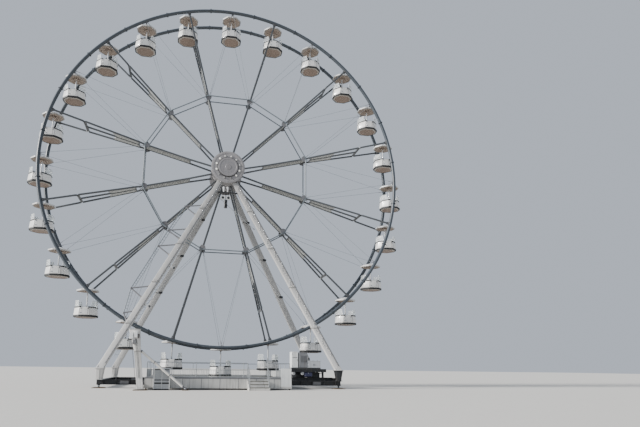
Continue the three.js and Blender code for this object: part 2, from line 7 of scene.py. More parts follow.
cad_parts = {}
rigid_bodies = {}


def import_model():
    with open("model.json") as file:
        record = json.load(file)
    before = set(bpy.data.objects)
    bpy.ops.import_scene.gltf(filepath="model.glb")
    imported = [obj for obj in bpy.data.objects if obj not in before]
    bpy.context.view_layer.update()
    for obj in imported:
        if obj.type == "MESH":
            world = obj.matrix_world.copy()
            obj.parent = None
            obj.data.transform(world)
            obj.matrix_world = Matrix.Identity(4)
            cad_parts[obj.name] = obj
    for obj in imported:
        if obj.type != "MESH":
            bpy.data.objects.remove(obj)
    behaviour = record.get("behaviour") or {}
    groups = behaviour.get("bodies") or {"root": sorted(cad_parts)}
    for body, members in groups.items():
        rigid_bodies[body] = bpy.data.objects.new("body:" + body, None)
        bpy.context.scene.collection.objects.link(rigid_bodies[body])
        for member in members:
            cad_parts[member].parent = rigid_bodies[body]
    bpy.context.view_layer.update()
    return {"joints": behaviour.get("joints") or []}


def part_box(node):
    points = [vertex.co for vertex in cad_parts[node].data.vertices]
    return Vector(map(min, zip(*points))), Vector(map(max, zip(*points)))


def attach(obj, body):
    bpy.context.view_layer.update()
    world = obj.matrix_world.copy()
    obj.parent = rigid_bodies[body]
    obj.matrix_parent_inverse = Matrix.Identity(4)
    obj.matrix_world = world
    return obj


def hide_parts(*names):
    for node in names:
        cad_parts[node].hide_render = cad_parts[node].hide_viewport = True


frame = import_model()

# Places and sizes that the frame gives. GAP is the room between bolted faces.
axle_low, axle_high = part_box("axle")
HUB = (axle_low + axle_high) / 2
PIVOTS = {j["child"]: Vector(j["pos_m"]) for j in frame["joints"] if j["parent"] == "wheel"}
WHEEL_RADIUS = (PIVOTS["gondola_01"] - HUB).length
GONDOLAS = len(PIVOTS)
SPOKES = GONDOLAS // 2
RIM_TUBE = 0.15
AXLE_BORE = 0.262
GAP = 0.0004
RIM_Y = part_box("rim_back")[1].y - RIM_TUBE
BRACKET_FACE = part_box("rim_back")[0].y

# The spoke's stations: radius from the hub and half spread of its chords
HUB_FACE = 1.4 + GAP
FLANGE_Y = 0.6
WAIST = (3.5, 0.44)
NODE = (7.65, 0.44)
FORK = (8.25, 0.56)
ELBOW = (13.0, 0.99)
FORK_GAP = 0.11
CHORD = (0.10, 0.15)
PANEL_END = 10.6
RING_RADIUS = 7.415
RING_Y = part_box("ring_back")[0].y + 0.055

# The gondola, from its pivot: octagons as half width, half depth and cut corner
FOOT = (0.74, 0.60, 0.37)
BAND = (0.95, 0.80, 0.51)
MOUTH = (0.87, 0.79, 0.48)
SCREEN_SIZE = (0.85, 0.77, 0.47)
ROOF = (0.88, 0.77, 0.47)
FOOT_Z = -2.40
BAND_LOW = -2.33
BAND_HIGH = -2.20
FLOOR_Z = -2.28
MOUTH_Z = -1.54
SCREEN_Z = -1.00
ROOF_UNDER = -0.19
ROOF_EDGE = -0.06
ROOF_CROWN = 0.16

# The legs: centre line at the top and at the foot
LEG_TOP = Vector((0.33, 1.15, HUB.z - 0.7))
LEG_FOOT = Vector((9.2, 4.28, 1.45))
LEG_WIDTH = 0.56
LEG_DEPTH = 0.42

# The bar between the front legs, and the lamps and the box under it
BAR_Y = -1.56
BAR_Z = HUB.z - 2.4
LAMP_X = (-0.375, 0.11)
LAMP_Z = HUB.z - 2.89
HORN_X = (-0.32, 0.02)
CONTROL_LOW = (-0.25, -1.69, HUB.z - 3.82)
CONTROL_HIGH = (0.02, -1.43, HUB.z - 3.10)

AXIS_X = Vector((1, 0, 0))
AXIS_Y = Vector((0, 1, 0))
AXIS_Z = Vector((0, 0, 1))
CORNERS = ((-1, -1), (-1, 1), (1, -1), (1, 1))


# Shader nodes

def feed(tree, made, inputs):
    """Sets or links a node's inputs."""
    for key, value in inputs.items():
        socket = made.inputs[key]
        if isinstance(value, bpy.types.NodeSocket):
            tree.links.new(value, socket)
        else:
            socket.default_value = value


def node(tree, kind, inputs=None, **settings):
    """Adds a node, sets its properties, and sets or links its inputs."""
    made = tree.nodes.new(kind)
    for key, value in settings.items():
        setattr(made, key, value)
    feed(tree, made, inputs or {})
    return made


def socket_type(value):
    """The type of socket for a default value, or for the name of a kind."""
    if isinstance(value, str):
        return f"NodeSocket{value}"
    if isinstance(value, tuple):
        return "NodeSocketVector" if len(value) == 3 else "NodeSocketColor"
    return f"NodeSocket{type(value).__name__.capitalize()}"


def new_group(name, inputs, outputs, kind="ShaderNodeTree"):
    """A node group with named sockets, and its input and output nodes."""
    tree = bpy.data.node_groups.new(name, kind)
    for label, value in inputs.items():
        made = tree.interface.new_socket(label, in_out="INPUT", socket_type=socket_type(value))
        if not isinstance(value, str):
            made.default_value = value
    for label, value in outputs.items():
        tree.interface.new_socket(label, in_out="OUTPUT", socket_type=socket_type(value))
    return tree, tree.nodes.new("NodeGroupInput").outputs, tree.nodes.new("NodeGroupOutput")


def group_node(tree, group, inputs):
    """Places a node group in a tree."""
    return node(tree, "ShaderNodeGroup", inputs, node_tree=group)


def object_place(tree):
    """The place on the object, in its own metres."""
    return node(tree, "ShaderNodeTexCoord").outputs["Object"]


def object_noise(tree, scale, detail, stretch=None):
    """Noise on the object's own metres, stretched along its axes if asked."""
    place = object_place(tree)
    if stretch:
        place = node(tree, "ShaderNodeMapping", {"Vector": place, "Scale": stretch}).outputs["Vector"]
    noise = {"Vector": place, "Scale": scale, "Detail": detail}
    return node(tree, "ShaderNodeTexNoise", noise).outputs["Fac"]


def between(tree, value, low, high, to_low=0.0, to_high=1.0):
    """Maps low..high to to_low..to_high, clamped."""
    labels = ("Value", "From Min", "From Max", "To Min", "To Max")
    ranges = dict(zip(labels, (value, low, high, to_low, to_high)))
    return node(tree, "ShaderNodeMapRange", ranges).outputs["Result"]


def combine(tree, a, b, operation="MULTIPLY"):
    """Two values multiplied, or put together by another operation."""
    return node(tree, "ShaderNodeMath", {0: a, 1: b}, operation=operation).outputs[0]


def off_middle(tree, value, scale):
    """How far a value is from a half, scaled."""
    return combine(tree, combine(tree, value, 0.5, "SUBTRACT"), scale)


def mix_colors(tree, factor, a, b, blend="MIX"):
    """One colour over another."""
    inputs = {0: factor, 6: a, 7: b}
    return node(tree, "ShaderNodeMix", inputs, data_type="RGBA", blend_type=blend).outputs[2]


def bumped(tree, height, distance, normal, strength=1.0):
    """A normal with a height laid over it."""
    inputs = {"Height": height, "Distance": distance, "Normal": normal, "Strength": strength}
    return node(tree, "ShaderNodeBump", inputs).outputs["Normal"]


def build_weathering():
    """Colour that varies in patches, with rain streaks of dirt running down."""
    tree, given, out = new_group(
        "weathering",
        {
            "Color": (0.5, 0.5, 0.5, 1), "Dirt Color": (0.1, 0.08, 0.06, 1), "Dirt": 0.3,
            "Streak Scale": 5.0, "Patch Scale": 0.6, "Variation": 0.12,
        },
        {"Color": "Color", "Mask": "Float"},
    )
    streaks = object_noise(tree, given["Streak Scale"], 6.0, (1.0, 1.0, 0.12))
    patches = object_noise(tree, given["Patch Scale"], 4.0)
    runs = combine(tree, between(tree, streaks, 0.45, 0.72), between(tree, patches, 0.35, 0.7))
    mask = combine(tree, runs, given["Dirt"])
    tone = combine(tree, off_middle(tree, patches, given["Variation"]), 2.0)
    lightness = {"Color": given["Color"], "Value": combine(tree, tone, 1.0, "ADD")}
    shade = node(tree, "ShaderNodeHueSaturation", lightness).outputs["Color"]
    feed(tree, out, {"Color": mix_colors(tree, mask, shade, given["Dirt Color"]), "Mask": mask})
    return tree


def build_surface():
    """A fine uneven surface, and the roughness that goes with it."""
    tree, given, out = new_group(
        "surface",
        {"Grain Scale": 40.0, "Bump": 0.15, "Roughness": 0.45, "Spread": 0.12},
        {"Normal": "Vector", "Roughness": "Float"},
    )
    grain = object_noise(tree, given["Grain Scale"], 3.0)
    bump = {"Height": grain, "Strength": given["Bump"], "Distance": 0.003}
    normal = node(tree, "ShaderNodeBump", bump).outputs["Normal"]
    shift = combine(tree, off_middle(tree, object_noise(tree, 2.5, 5.0), given["Spread"]), 2.0)
    feed(tree, out, {"Normal": normal, "Roughness": combine(tree, given["Roughness"], shift, "ADD")})
    return tree


def build_chips():
    """Small chips in a paint, as a mask."""
    tree, given, out = new_group("chips", {"Scale": 9.0, "Amount": 0.5}, {"Mask": "Float"})
    spots = object_noise(tree, given["Scale"], 8.0)
    edge = combine(tree, combine(tree, object_noise(tree, 0.9, 2.0), 0.12), 0.62, "ADD")
    mask = between(tree, combine(tree, spots, edge, "SUBTRACT"), 0.0, 0.02)
    feed(tree, out, {"Mask": combine(tree, mask, given["Amount"])})
    return tree


def build_tread_bars():
    """Raised bars of a tread plate, crosswise in every other cell, as a height."""
    tree, given, out = new_group("tread_bars", {"Pitch": 0.06}, {"Height": "Float"})
    pitches = node(tree, "ShaderNodeCombineXYZ", {i: given["Pitch"] for i in range(3)}).outputs[0]
    inputs = {0: object_place(tree), 1: pitches}
    cells = node(tree, "ShaderNodeVectorMath", inputs, operation="DIVIDE").outputs[0]
    parts = node(tree, "ShaderNodeSeparateXYZ", {0: cells}).outputs
    heights = []
    for long, wide, offset in ((parts[1], parts[0], 0.0), (parts[0], parts[1], 0.5)):
        reach = []
        for axis, scale in ((long, 0.42), (wide, 2.2)):
            swing = combine(tree, combine(tree, axis, offset, "ADD"), 1.0, "PINGPONG")
            away = off_middle(tree, swing, scale)
            reach.append(combine(tree, away, away))
        heights.append(between(tree, combine(tree, *reach, "ADD"), 0.035, 0.05, 1.0, 0.0))
    feed(tree, out, {"Height": combine(tree, *heights, "MAXIMUM")})
    return tree


def build_seams():
    """Straight seams across one axis of the object at a regular pitch, as a mask."""
    tree, given, out = new_group(
        "seams", {"Direction": (0, 0, 1), "Pitch": 1.0, "Width": 0.01}, {"Mask": "Float"},
    )
    inputs = {0: object_place(tree), 1: given["Direction"]}
    along = node(tree, "ShaderNodeVectorMath", inputs, operation="DOT_PRODUCT").outputs["Value"]
    swing = combine(tree, along, combine(tree, given["Pitch"], 0.5), "PINGPONG")
    inner = combine(tree, given["Width"], 0.6)
    feed(tree, out, {"Mask": between(tree, swing, given["Width"], inner)})
    return tree


def build_height_tone():
    """A grey that changes from one height of the object to another. It is painted shade: the legs grow
    darker towards the top, standing in for the wheel's shade.
    """
    tree, given, out = new_group(
        "painted_height_shade", {"Low": 0.0, "High": 1.0, "Low Tone": 1.0, "High Tone": 0.7}, {"Tone": "Float"},
    )
    height = node(tree, "ShaderNodeSeparateXYZ", {0: object_place(tree)}).outputs["Z"]
    shade_tones = (given[label] for label in ("Low", "High", "Low Tone", "High Tone"))
    feed(tree, out, {"Tone": between(tree, height, *shade_tones)})
    return tree


WEATHERING = build_weathering()
SURFACE = build_surface()
CHIPS = build_chips()
TREAD_BARS = build_tread_bars()
SEAMS = build_seams()
PAINTED_HEIGHT_SHADE = build_height_tone()


def srgb(code):
    """A hex colour as the linear values that the shader takes."""
    channels = [int(code[i:i + 2], 16) / 255 for i in (0, 2, 4)]
    return tuple(((c + 0.055) / 1.055) ** 2.4 if c > 0.04 else c / 12.92 for c in channels) + (1.0,)


def new_material(name, metal):
    """A material with its node tree and its shader."""
    made = bpy.data.materials.new(name)
    made.use_nodes = True
    shader = made.node_tree.nodes["Principled BSDF"]
    shader.inputs["Metallic"].default_value = metal
    return made, made.node_tree, shader


def weather_and_surface(tree, color, dirt_color, dirt, streak, patch, variation, grain, bump, rough):
    """The two groups that every finish has, with their values."""
    weather = {
        "Color": srgb(color), "Dirt Color": srgb(dirt_color), "Dirt": dirt,
        "Streak Scale": streak, "Patch Scale": patch, "Variation": variation,
    }
    surface = {"Grain Scale": grain, "Bump": bump, "Roughness": rough}
    groups = (group_node(tree, WEATHERING, weather), group_node(tree, SURFACE, surface))
    return [group.outputs for group in groups]


def finish(
    name, color, rough=0.45, metal=0.0, dirt=0.35, dirt_color="4a4238", chips=0.0,
    under="3a3f42", grain=40.0, bump=0.15, streak=5.0, patch=0.6, variation=0.12,
    seams=None, tread=0.0, coat=0.0, glow=0.0, shade_tones=None,
):
    """A painted, plated or moulded finish with dirt, chips, seams and an uneven surface."""
    made, tree, shader = new_material(name, metal)
    shader.inputs["Coat Weight"].default_value = coat
    weather, surface = weather_and_surface(
        tree, color, dirt_color, dirt, streak, patch, variation, grain, bump, rough,
    )
    result, normal = weather["Color"], surface["Normal"]
    # Painted shade: a height tone multiplied into the colour, darker towards the top.
    if shade_tones:
        keys = ("Low", "High", "Low Tone", "High Tone")
        tone = group_node(tree, PAINTED_HEIGHT_SHADE, dict(zip(keys, shade_tones))).outputs["Tone"]
        result = mix_colors(tree, 1.0, result, tone, "MULTIPLY")
    if chips:
        chip = group_node(tree, CHIPS, {"Scale": 9.0, "Amount": chips}).outputs["Mask"]
        result = mix_colors(tree, chip, result, srgb(under))
    if seams:
        lines = dict(zip(("Direction", "Pitch", "Width"), seams))
        line = group_node(tree, SEAMS, lines).outputs["Mask"]
        result = mix_colors(tree, combine(tree, line, 0.7), result, srgb("25282b"))
        normal = bumped(tree, combine(tree, line, -1.0), 0.01, normal)
    if tread:
        bars = group_node(tree, TREAD_BARS, {"Pitch": tread}).outputs["Height"]
        normal = bumped(tree, bars, 0.004, normal, 0.8)
        result = mix_colors(tree, combine(tree, bars, 0.35), result, srgb("c9c9c6"))
    dirty = combine(tree, weather["Mask"], 0.25)
    rougher = combine(tree, surface["Roughness"], dirty, "ADD")
    feed(tree, shader, {"Base Color": result, "Roughness": rougher, "Normal": normal})
    if glow:
        feed(tree, shader, {"Emission Color": result, "Emission Strength": glow})
    return made


def clear_sheet(name, color, transmission, rough):
    """A clear moulded sheet with faint smears of dust."""
    made, tree, shader = new_material(name, 0.0)
    weather, surface = weather_and_surface(tree, color, "c9c4b8", 0.4, 8.0, 1.5, 0.04, 30.0, 0.02, rough)
    rougher = combine(tree, surface["Roughness"], combine(tree, weather["Mask"], 0.4), "ADD")
    feed(tree, shader, {"Transmission Weight": transmission, "IOR": 1.45})
    sockets = {"Base Color": weather["Color"], "Roughness": rougher, "Normal": surface["Normal"]}
    feed(tree, shader, sockets)
    return made


RIM_BLUE = finish("rim_blue", "3d444b", rough=0.38, chips=0.6, under="8d9296", dirt=0.3)
SPOKE_GREY = finish("spoke_grey", "484b4e", rough=0.42, chips=0.4, under="2f3335")
PANEL_GREY = finish("spoke_panel_grey", "a3a5a3", rough=0.5, dirt=0.45, streak=3.0)
TIE_GREY = finish("tie_grey", "687076", rough=0.4, chips=0.3)
HUB_GREY = finish("hub_grey", "8f8d8d", rough=0.5, dirt=0.4, chips=0.2, patch=1.4)
# Painted shade for the legs: full tone at the foot, darkening to two thirds at the top, standing in for
# the wheel's shade.
LEG_PAINTED_SHADE = (2.0, 17.5, 1.0, 0.66)
LEG_CREAM = finish(
    "leg_cream", "c6c5c3", rough=0.42, dirt=0.5, chips=0.3, under="8b8a84", dirt_color="6f6a60",
    shade_tones=LEG_PAINTED_SHADE,
)
FLANGE_GREY = finish("flange_grey", "77777a", rough=0.5, metal=0.3, dirt=0.5, chips=0.4)
TUB_WHITE = finish(
    "tub_white", "e4e3e0", rough=0.28, dirt=0.25, grain=90.0, bump=0.05, coat=0.3, streak=9.0,
)
TUB_BLACK = finish("tub_black_rubber", "1b1c1e", rough=0.6, grain=120.0, bump=0.3, dirt=0.2)
TUB_BEIGE = finish(
    "tub_underside_beige", "7d6b5f", rough=0.55, dirt=0.5, dirt_color="57483c", variation=0.2,
)
ROOF_BEIGE = finish(
    "roof_underside_beige", "9a8b7f", rough=0.6, dirt=0.4, dirt_color="5c4d40", variation=0.2,
)
FOOT_LIGHT = finish("tub_foot_light", "a29c94", rough=0.45, dirt=0.5, dirt_color="7a6f62")
ROOF_BORDER = finish("roof_border_grey", "8f8d8a", rough=0.5, dirt=0.4)
ROOF_SIDE = finish("roof_side_light", "c9c8c6", rough=0.35, dirt=0.35, coat=0.2)
POLE_GREY = finish("pole_grey", "c4c5c6", rough=0.32, dirt=0.2, coat=0.2)
DOOR_GREY = finish("door_grey", "dcdcda", rough=0.32, dirt=0.3, coat=0.2)
JOINT_DARK = finish("joint_dark", "3c3d3e", rough=0.6)
SCREEN_FRAME = finish("screen_frame_white", "e9eaea", rough=0.3, dirt=0.15)
TUB_INSIDE = finish("tub_inside_grey", "b9bab8", rough=0.45, dirt=0.3, grain=90.0)
TUB_TREAD = finish("tub_floor_tread", "8d8f90", rough=0.4, metal=0.8, tread=0.05, dirt=0.4)
SEAT_GREY = finish("seat_shell_grey", "5b5f66", rough=0.35, dirt=0.15, grain=150.0, coat=0.2)
SCREEN_CLEAR = clear_sheet("screen_clear_acrylic", "eef2f3", 0.6, 0.12)
LEG_FLANGE = finish(
    "leg_flange_cream", "a6a5a2", rough=0.5, dirt=0.6, chips=0.5, under="77756f", dirt_color="5d564a",
    shade_tones=LEG_PAINTED_SHADE,
)
DISC_GREY = finish("disc_grey", "8b898a", rough=0.42, dirt=0.4, patch=1.2, coat=0.1)
DRUM_GREY = finish("drum_grey", "828082", rough=0.45, dirt=0.4, patch=1.2)
# Painted shade: a dark grey for the drum's side wall and the recess at its foot.
DRUM_SIDE_PAINTED_SHADE = finish("drum_side_painted_shade", "4d4c4d", rough=0.55, dirt=0.5)
LAMP_RING = finish("lamp_ring_light", "c4c5c3", rough=0.35, dirt=0.3)
LAMP_DIM = finish("lamp_lens_dim", "b4b4b2", rough=0.25, dirt=0.3, coat=0.4)
LAMP_OUT = finish("lamp_lens_unlit", "6d6d6c", rough=0.25, dirt=0.3, coat=0.4)
LENS_DARK = finish("lamp_lens_dark", "16181b", rough=0.08, dirt=0.1, coat=0.6)
LAMP_STRING = finish("lamp_string_cable", "8e9092", rough=0.5)
BOX_BLACK = finish("control_box_black", "17181a", rough=0.4, dirt=0.25)
BOX_BLUE = finish("stowage_box_blue", "26294a", rough=0.45, dirt=0.45, chips=0.3)
MACHINE_GREY = finish("machine_housing_grey", "74767a", rough=0.45, dirt=0.5, chips=0.2)
VENT_GREY = finish("vent_slat_grey", "66686b", rough=0.5, dirt=0.5)
POWER_GREY = finish("power_box_grey", "aeb1b5", rough=0.42, dirt=0.4)
BRACE_LIGHT = finish("brace_light", "d6d4cf", rough=0.38, dirt=0.5, dirt_color="6f6a60")
COLUMN_LIGHT = finish("column_light", "dcdbd8", rough=0.42, dirt=0.55, chips=0.3, dirt_color="6f6a60")
STAY_ROPE = finish("stay_rope", "7c8185", rough=0.6, metal=0.3, dirt=0.2)
NOSING_STRIP = finish("nosing_strip", "8b8778", rough=0.6, grain=160.0, bump=0.5)
BRIGHT_STEEL = finish(
    "bright_steel", "b4b8bb", rough=0.25, metal=1.0, dirt=0.2, grain=200.0, variation=0.08,
)
GALVANISED = finish(
    "galvanised_steel", "9fa3a6", rough=0.42, metal=0.9, dirt=0.25, patch=8.0, variation=0.25,
)
DARK_STEEL = finish(
    "dark_steel", "2c2e31", rough=0.5, metal=0.3, dirt=0.45, dirt_color="5b5148", chips=0.4,
    under="6b4a35",
)
DECK_TREAD = finish("deck_tread_plate", "8e8e8c", rough=0.42, metal=0.7, tread=0.08, dirt=0.5)
SKIRT_GREY = finish(
    "skirt_board_grey", "c4c3bf", rough=0.5, dirt=0.6, seams=((1, 0, 0), 1.325, 0.012),
)
BOX_WHITE = finish("cabinet_white", "dcdedd", rough=0.4, dirt=0.4, chips=0.2)
LOUVRE_GREY = finish("louvre_grey", "c2c4c5", rough=0.45, dirt=0.45)
LAMP_WHITE = finish("lamp_lens_white", "f6f4ec", rough=0.15, dirt=0.1, coat=0.5, glow=0.15)
TIMBER = finish(
    "packing_timber", "6f5a42", rough=0.8, dirt=0.6, grain=30.0, bump=0.6, variation=0.3,
)


# Mesh building

def stack_volume(rings):
    """Six times the volume inside a stack of rings. It is negative where the faces point inwards."""
    total = 0.0
    middle = rings[0][0]
    for ring, after in zip(rings, rings[1:]):
        count = len(ring)
        for i in range(count):
            a, b = ring[i] - middle, ring[(i + 1) % count] - middle
            c, d = after[(i + 1) % count] - middle, after[i] - middle
            total += a.dot(b.cross(c)) + a.dot(c.cross(d))
    for ring, sign in ((rings[0], -1), (rings[-1], 1)):
        for i in range(1, len(ring) - 1):
            a, b, c = ring[0] - middle, ring[i] - middle, ring[i + 1] - middle
            total += sign * a.dot(b.cross(c))
    return total


class Shape:
    """Collects closed forms, each with its finish, into one mesh."""

    def __init__(self):
        self.points = []
        self.faces = []
        self.looks = []
        self.rounds = []

    def face(self, corners, look, smooth):
        """Adds one face."""
        self.faces.append(corners)
        self.looks.append(look)
        self.rounds.append(smooth)

    def loft(self, rings, look, smooth=False, closed=False):
        """A solid through a stack of rings. A list of looks gives one to each span."""
        if not closed and stack_volume(rings) < 0:
            rings = [list(reversed(ring)) for ring in rings]
        start = len(self.points)
        count = len(rings[0])
        for ring in rings:
            self.points.extend(ring)
        spans = len(rings) if closed else len(rings) - 1
        looks = look if isinstance(look, list) else [look] * spans
        for s in range(spans):
            low = start + s * count
            high = start + ((s + 1) % len(rings)) * count
            for i in range(count):
                j = (i + 1) % count
                self.face((low + i, low + j, high + j, high + i), looks[s], smooth)
        if not closed:
            last = start + (len(rings) - 1) * count
            self.face(tuple(reversed(range(start, start + count))), looks[0], False)
            self.face(tuple(range(last, last + count)), looks[-1], False)

    def fin(self, points, half, look):
        """A flat plate with the given corners, half its thickness to each side."""
        self.loft([[point + half * sign for point in points] for sign in (-1, 1)], look)

    def sweep(self, outline, path, look, side=AXIS_Y, smooth=False, closed=False):
        """Carries an outline along a path with mitred corners. Its x runs along side."""
        rings = []
        count = len(path)
        for i, at in enumerate(path):
            before = path[i - 1] if (i or closed) else None
            after = path[(i + 1) % count] if (i + 1 < count or closed) else None
            into = (at - before).normalized() if before is not None else None
            out = (after - at).normalized() if after is not None else into
            into = into or out
            mitre = (into + out).normalized()
            x_axis, y_axis = plane_axes(out, side)
            ring = []
            for x, y in outline:
                point = x_axis * x + y_axis * y
                ring.append(at + point - out * (point.dot(mitre) / out.dot(mitre)))
            rings.append(ring)
        self.loft(rings, look, smooth, closed)

    def box(self, a, b, look, edge=0.006):
        """A box with broken edges, between two opposite corners."""
        low, high = corners_of(a, b)
        size = [far - near for near, far in zip(low, high)]
        edge = min(edge, min(size) * 0.3)
        middle_x, middle_y = (low[0] + high[0]) / 2, (low[1] + high[1]) / 2
        rings = []
        for z, by in ((low[2], edge), (low[2] + edge, 0), (high[2] - edge, 0), (high[2], edge)):
            outline = rounded(size[0] - 2 * by, size[1] - 2 * by, edge, 1)
            rings.append([Vector((middle_x + x, middle_y + y, z)) for x, y in outline])
        self.loft(rings, look)

    def block(self, at, reach, look, edge=0.006):
        """A box with broken edges round a point, and how far it reaches from there on each axis."""
        self.box(Vector(at) - Vector(reach), Vector(at) + Vector(reach), look, edge)

    def bar(self, a, b, wide, deep, look, side=AXIS_Y, edge=0.012):
        """A straight bar with rounded edges, wide along side."""
        self.sweep(rounded(wide, deep, edge, 2), [Vector(a), Vector(b)], look, side)

    def rod(self, a, b, radius, look, sides=12):
        """A round bar with broken ends."""
        a, b = Vector(a), Vector(b)
        run = (b - a).normalized()
        edge = min(radius * 0.15, (b - a).length * 0.2)
        self.turned([(0.85 * radius, 0), (radius, edge)], a, run, look, sides, (b - a).length)

    def pin(self, at, half, radius, look, sides=12):
        """A round bar through a point, half its length to each side."""
        self.rod(Vector(at) - half, Vector(at) + half, radius, look, sides)

    def turned(self, profile, at, run, look, sides=16, mirror=0.0, closed=False, side=None):
        """A turned form: (radius, distance) pairs along run, out and then back if it is bored."""
        pairs = list(profile)
        if mirror:
            pairs += [(r, mirror - d) for r, d in reversed(profile)]
        x_axis, y_axis = plane_axes(run, side or (AXIS_X if abs(run.x) < 0.8 else AXIS_Y))
        rings = []
        for radius, distance in pairs:
            centre = Vector(at) + run * distance
            ring = [centre + (x_axis * x + y_axis * y) * radius for x, y in circle(1, sides)]
            rings.append(ring)
        self.loft(rings, look, True, closed)

    def plate(self, outline, at, normal, thick, look, edge=0.004):
        """A flat plate from an outline, centred on at, with broken edges."""
        x_axis, y_axis = plane_axes(normal, AXIS_X)
        reach = max(max(abs(x), abs(y)) for x, y in outline)
        rings = []
        for height, cut in ((-0.5, 1), (-0.3, 0), (0.3, 0), (0.5, 1)):
            scale = 1 - cut * edge / reach
            plane = Vector(at) + normal * (height * thick)
            rings.append([plane + (x_axis * x + y_axis * y) * scale for x, y in outline])
        self.loft(rings, look)

    def take(self, other, place):
        """Adds another shape, moved by a matrix."""
        start = len(self.points)
        self.points.extend(place @ point for point in other.points)
        for corners, look, smooth in zip(other.faces, other.looks, other.rounds):
            self.face(tuple(start + c for c in corners), look, smooth)

    def take_mesh(self, mesh, place=None, smooth=False):
        """Adds a mesh that a node tree has made, with its own materials."""
        start = len(self.points)
        place = place or Matrix.Identity(4)
        self.points.extend(place @ v.co for v in mesh.vertices)
        for polygon in mesh.polygons:
            look = mesh.materials[polygon.material_index]
            self.face(tuple(start + v for v in polygon.vertices), look, smooth)

    def build(self, name):
        """The mesh, with a slot for each finish."""
        mesh = bpy.data.meshes.new(name)
        mesh.from_pydata(self.points, [], self.faces)
        slots = list(dict.fromkeys(self.looks))
        for look in slots:
            mesh.materials.append(look)
        index = {look: i for i, look in enumerate(slots)}
        mesh.polygons.foreach_set("material_index", [index[look] for look in self.looks])
        mesh.polygons.foreach_set("use_smooth", self.rounds)
        mesh.update()
        mesh.set_sharp_from_angle(angle=math.radians(32))
        return mesh


def corners_of(a, b):
    """The low and the high corner of the box between two points."""
    return [tuple(pick(x, y) for x, y in zip(a, b)) for pick in (min, max)]


def plane_axes(normal, side):
    """The two axes of the plane across normal, the first of them nearest to side."""
    x_axis = (side - normal * side.dot(normal)).normalized()
    return x_axis, normal.cross(x_axis)


def rounded(wide, deep, edge, steps=3):
    """A rectangle's outline with round corners."""
    x, y = wide / 2 - edge, deep / 2 - edge
    outline = []
    for quarter, (sx, sy) in enumerate(((1, 1), (-1, 1), (-1, -1), (1, -1))):
        for step in range(steps + 1):
            angle = (quarter + step / steps) * math.pi / 2
            outline.append((sx * x + edge * math.cos(angle), sy * y + edge * math.sin(angle)))
    return outline


def circle(radius, sides=12):
    """Points round a circle."""
    turns = [2 * math.pi * i / sides for i in range(sides)]
    return [(radius * math.cos(a), radius * math.sin(a)) for a in turns]


def cut_corners(size):
    """The eight corners in plan of a rectangle with cut corners."""
    x, y, cut = size
    half = [(x, y - cut), (x - cut, y), (cut - x, y), (-x, y - cut)]
    return half + [(-a, -b) for a, b in half]


def octagon(size, z, soft=0.05, steps=2):
    """A ring with cut corners, each edge between two sides rounded off."""
    corners = [Vector((x, y, z)) for x, y in cut_corners(size)]
    ring = []
    for i, corner in enumerate(corners):
        before = corners[i - 1] - corner
        after = corners[(i + 1) % len(corners)] - corner
        start = corner + before.normalized() * soft
        end = corner + after.normalized() * soft
        for step in range(steps + 1):
            t = step / steps
            ring.append(start * (1 - t) ** 2 + corner * (2 * t * (1 - t)) + end * t ** 2)
    return ring


def linked(name, data):
    """A new object in the scene."""
    made = bpy.data.objects.new(name, data)
    bpy.context.scene.collection.objects.link(made)
    return made


def show(mesh, name, body, slot, *nodes):
    """Puts a finished mesh in the scene on its body, in place of CAD nodes if any are named."""
    piece = linked(name, mesh)
    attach(piece, body)
    if nodes:
        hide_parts(*nodes)


def show_part(shape, name, part, slot, body="base"):
    """Puts a finished shape in the scene in place of the CAD node of the same name."""
    show(shape.build(name), f"{name}_{part}", body, slot, name)


def assembled(*parts):
    """A shape that several functions add to."""
    shape = Shape()
    for part in parts:
        part(shape)
    return shape


# Geometry Nodes

def grow(tree, values):
    """Runs a node tree once with the given inputs and gives back its plain mesh."""
    seed = linked("seed", bpy.data.meshes.new("seed"))
    modifier = seed.modifiers.new("grow", "NODES")
    modifier.node_group = tree
    for item in tree.interface.items_tree:
        if item.in_out == "INPUT" and item.name in values:
            modifier[item.identifier] = values[item.name]
    bpy.context.view_layer.update()
    evaluated = seed.evaluated_get(bpy.context.evaluated_depsgraph_get())
    mesh = bpy.data.meshes.new_from_object(evaluated)
    seed.modifiers.clear()
    bpy.data.objects.remove(seed)
    return mesh


def placed_on(tree, places, instance, rotation=(0.0, 0.0, 0.0)):
    """Copies of a form on points."""
    inputs = {"Points": places, "Instance": instance, "Rotation": rotation}
    return node(tree, "GeometryNodeInstanceOnPoints", inputs).outputs[0]


def painted(tree, geometry, material):
    """Geometry with a material on it."""
    inputs = {"Geometry": geometry, "Material": material}
    return node(tree, "GeometryNodeSetMaterial", inputs).outputs[0]


def joined(tree, *parts):
    """Several geometries as one."""
    made = node(tree, "GeometryNodeJoinGeometry")
    for part in parts:
        tree.links.new(part, made.inputs[0])
    return made.outputs[0]


def realized(tree, geometry):
    """Plain geometry in place of instances."""
    return node(tree, "GeometryNodeRealizeInstances", {0: geometry}).outputs[0]


def cylinder(tree, sides, radius, depth):
    """A cylinder about +Z."""
    inputs = {"Vertices": sides, "Radius": radius, "Depth": depth}
    return node(tree, "GeometryNodeMeshCylinder", inputs).outputs[0]


def points_round(tree, count, radius):
    """Points round a circle about +Z."""
    inputs = {"Vertices": count, "Radius": radius}
    return node(tree, "GeometryNodeMeshCircle", inputs).outputs[0]


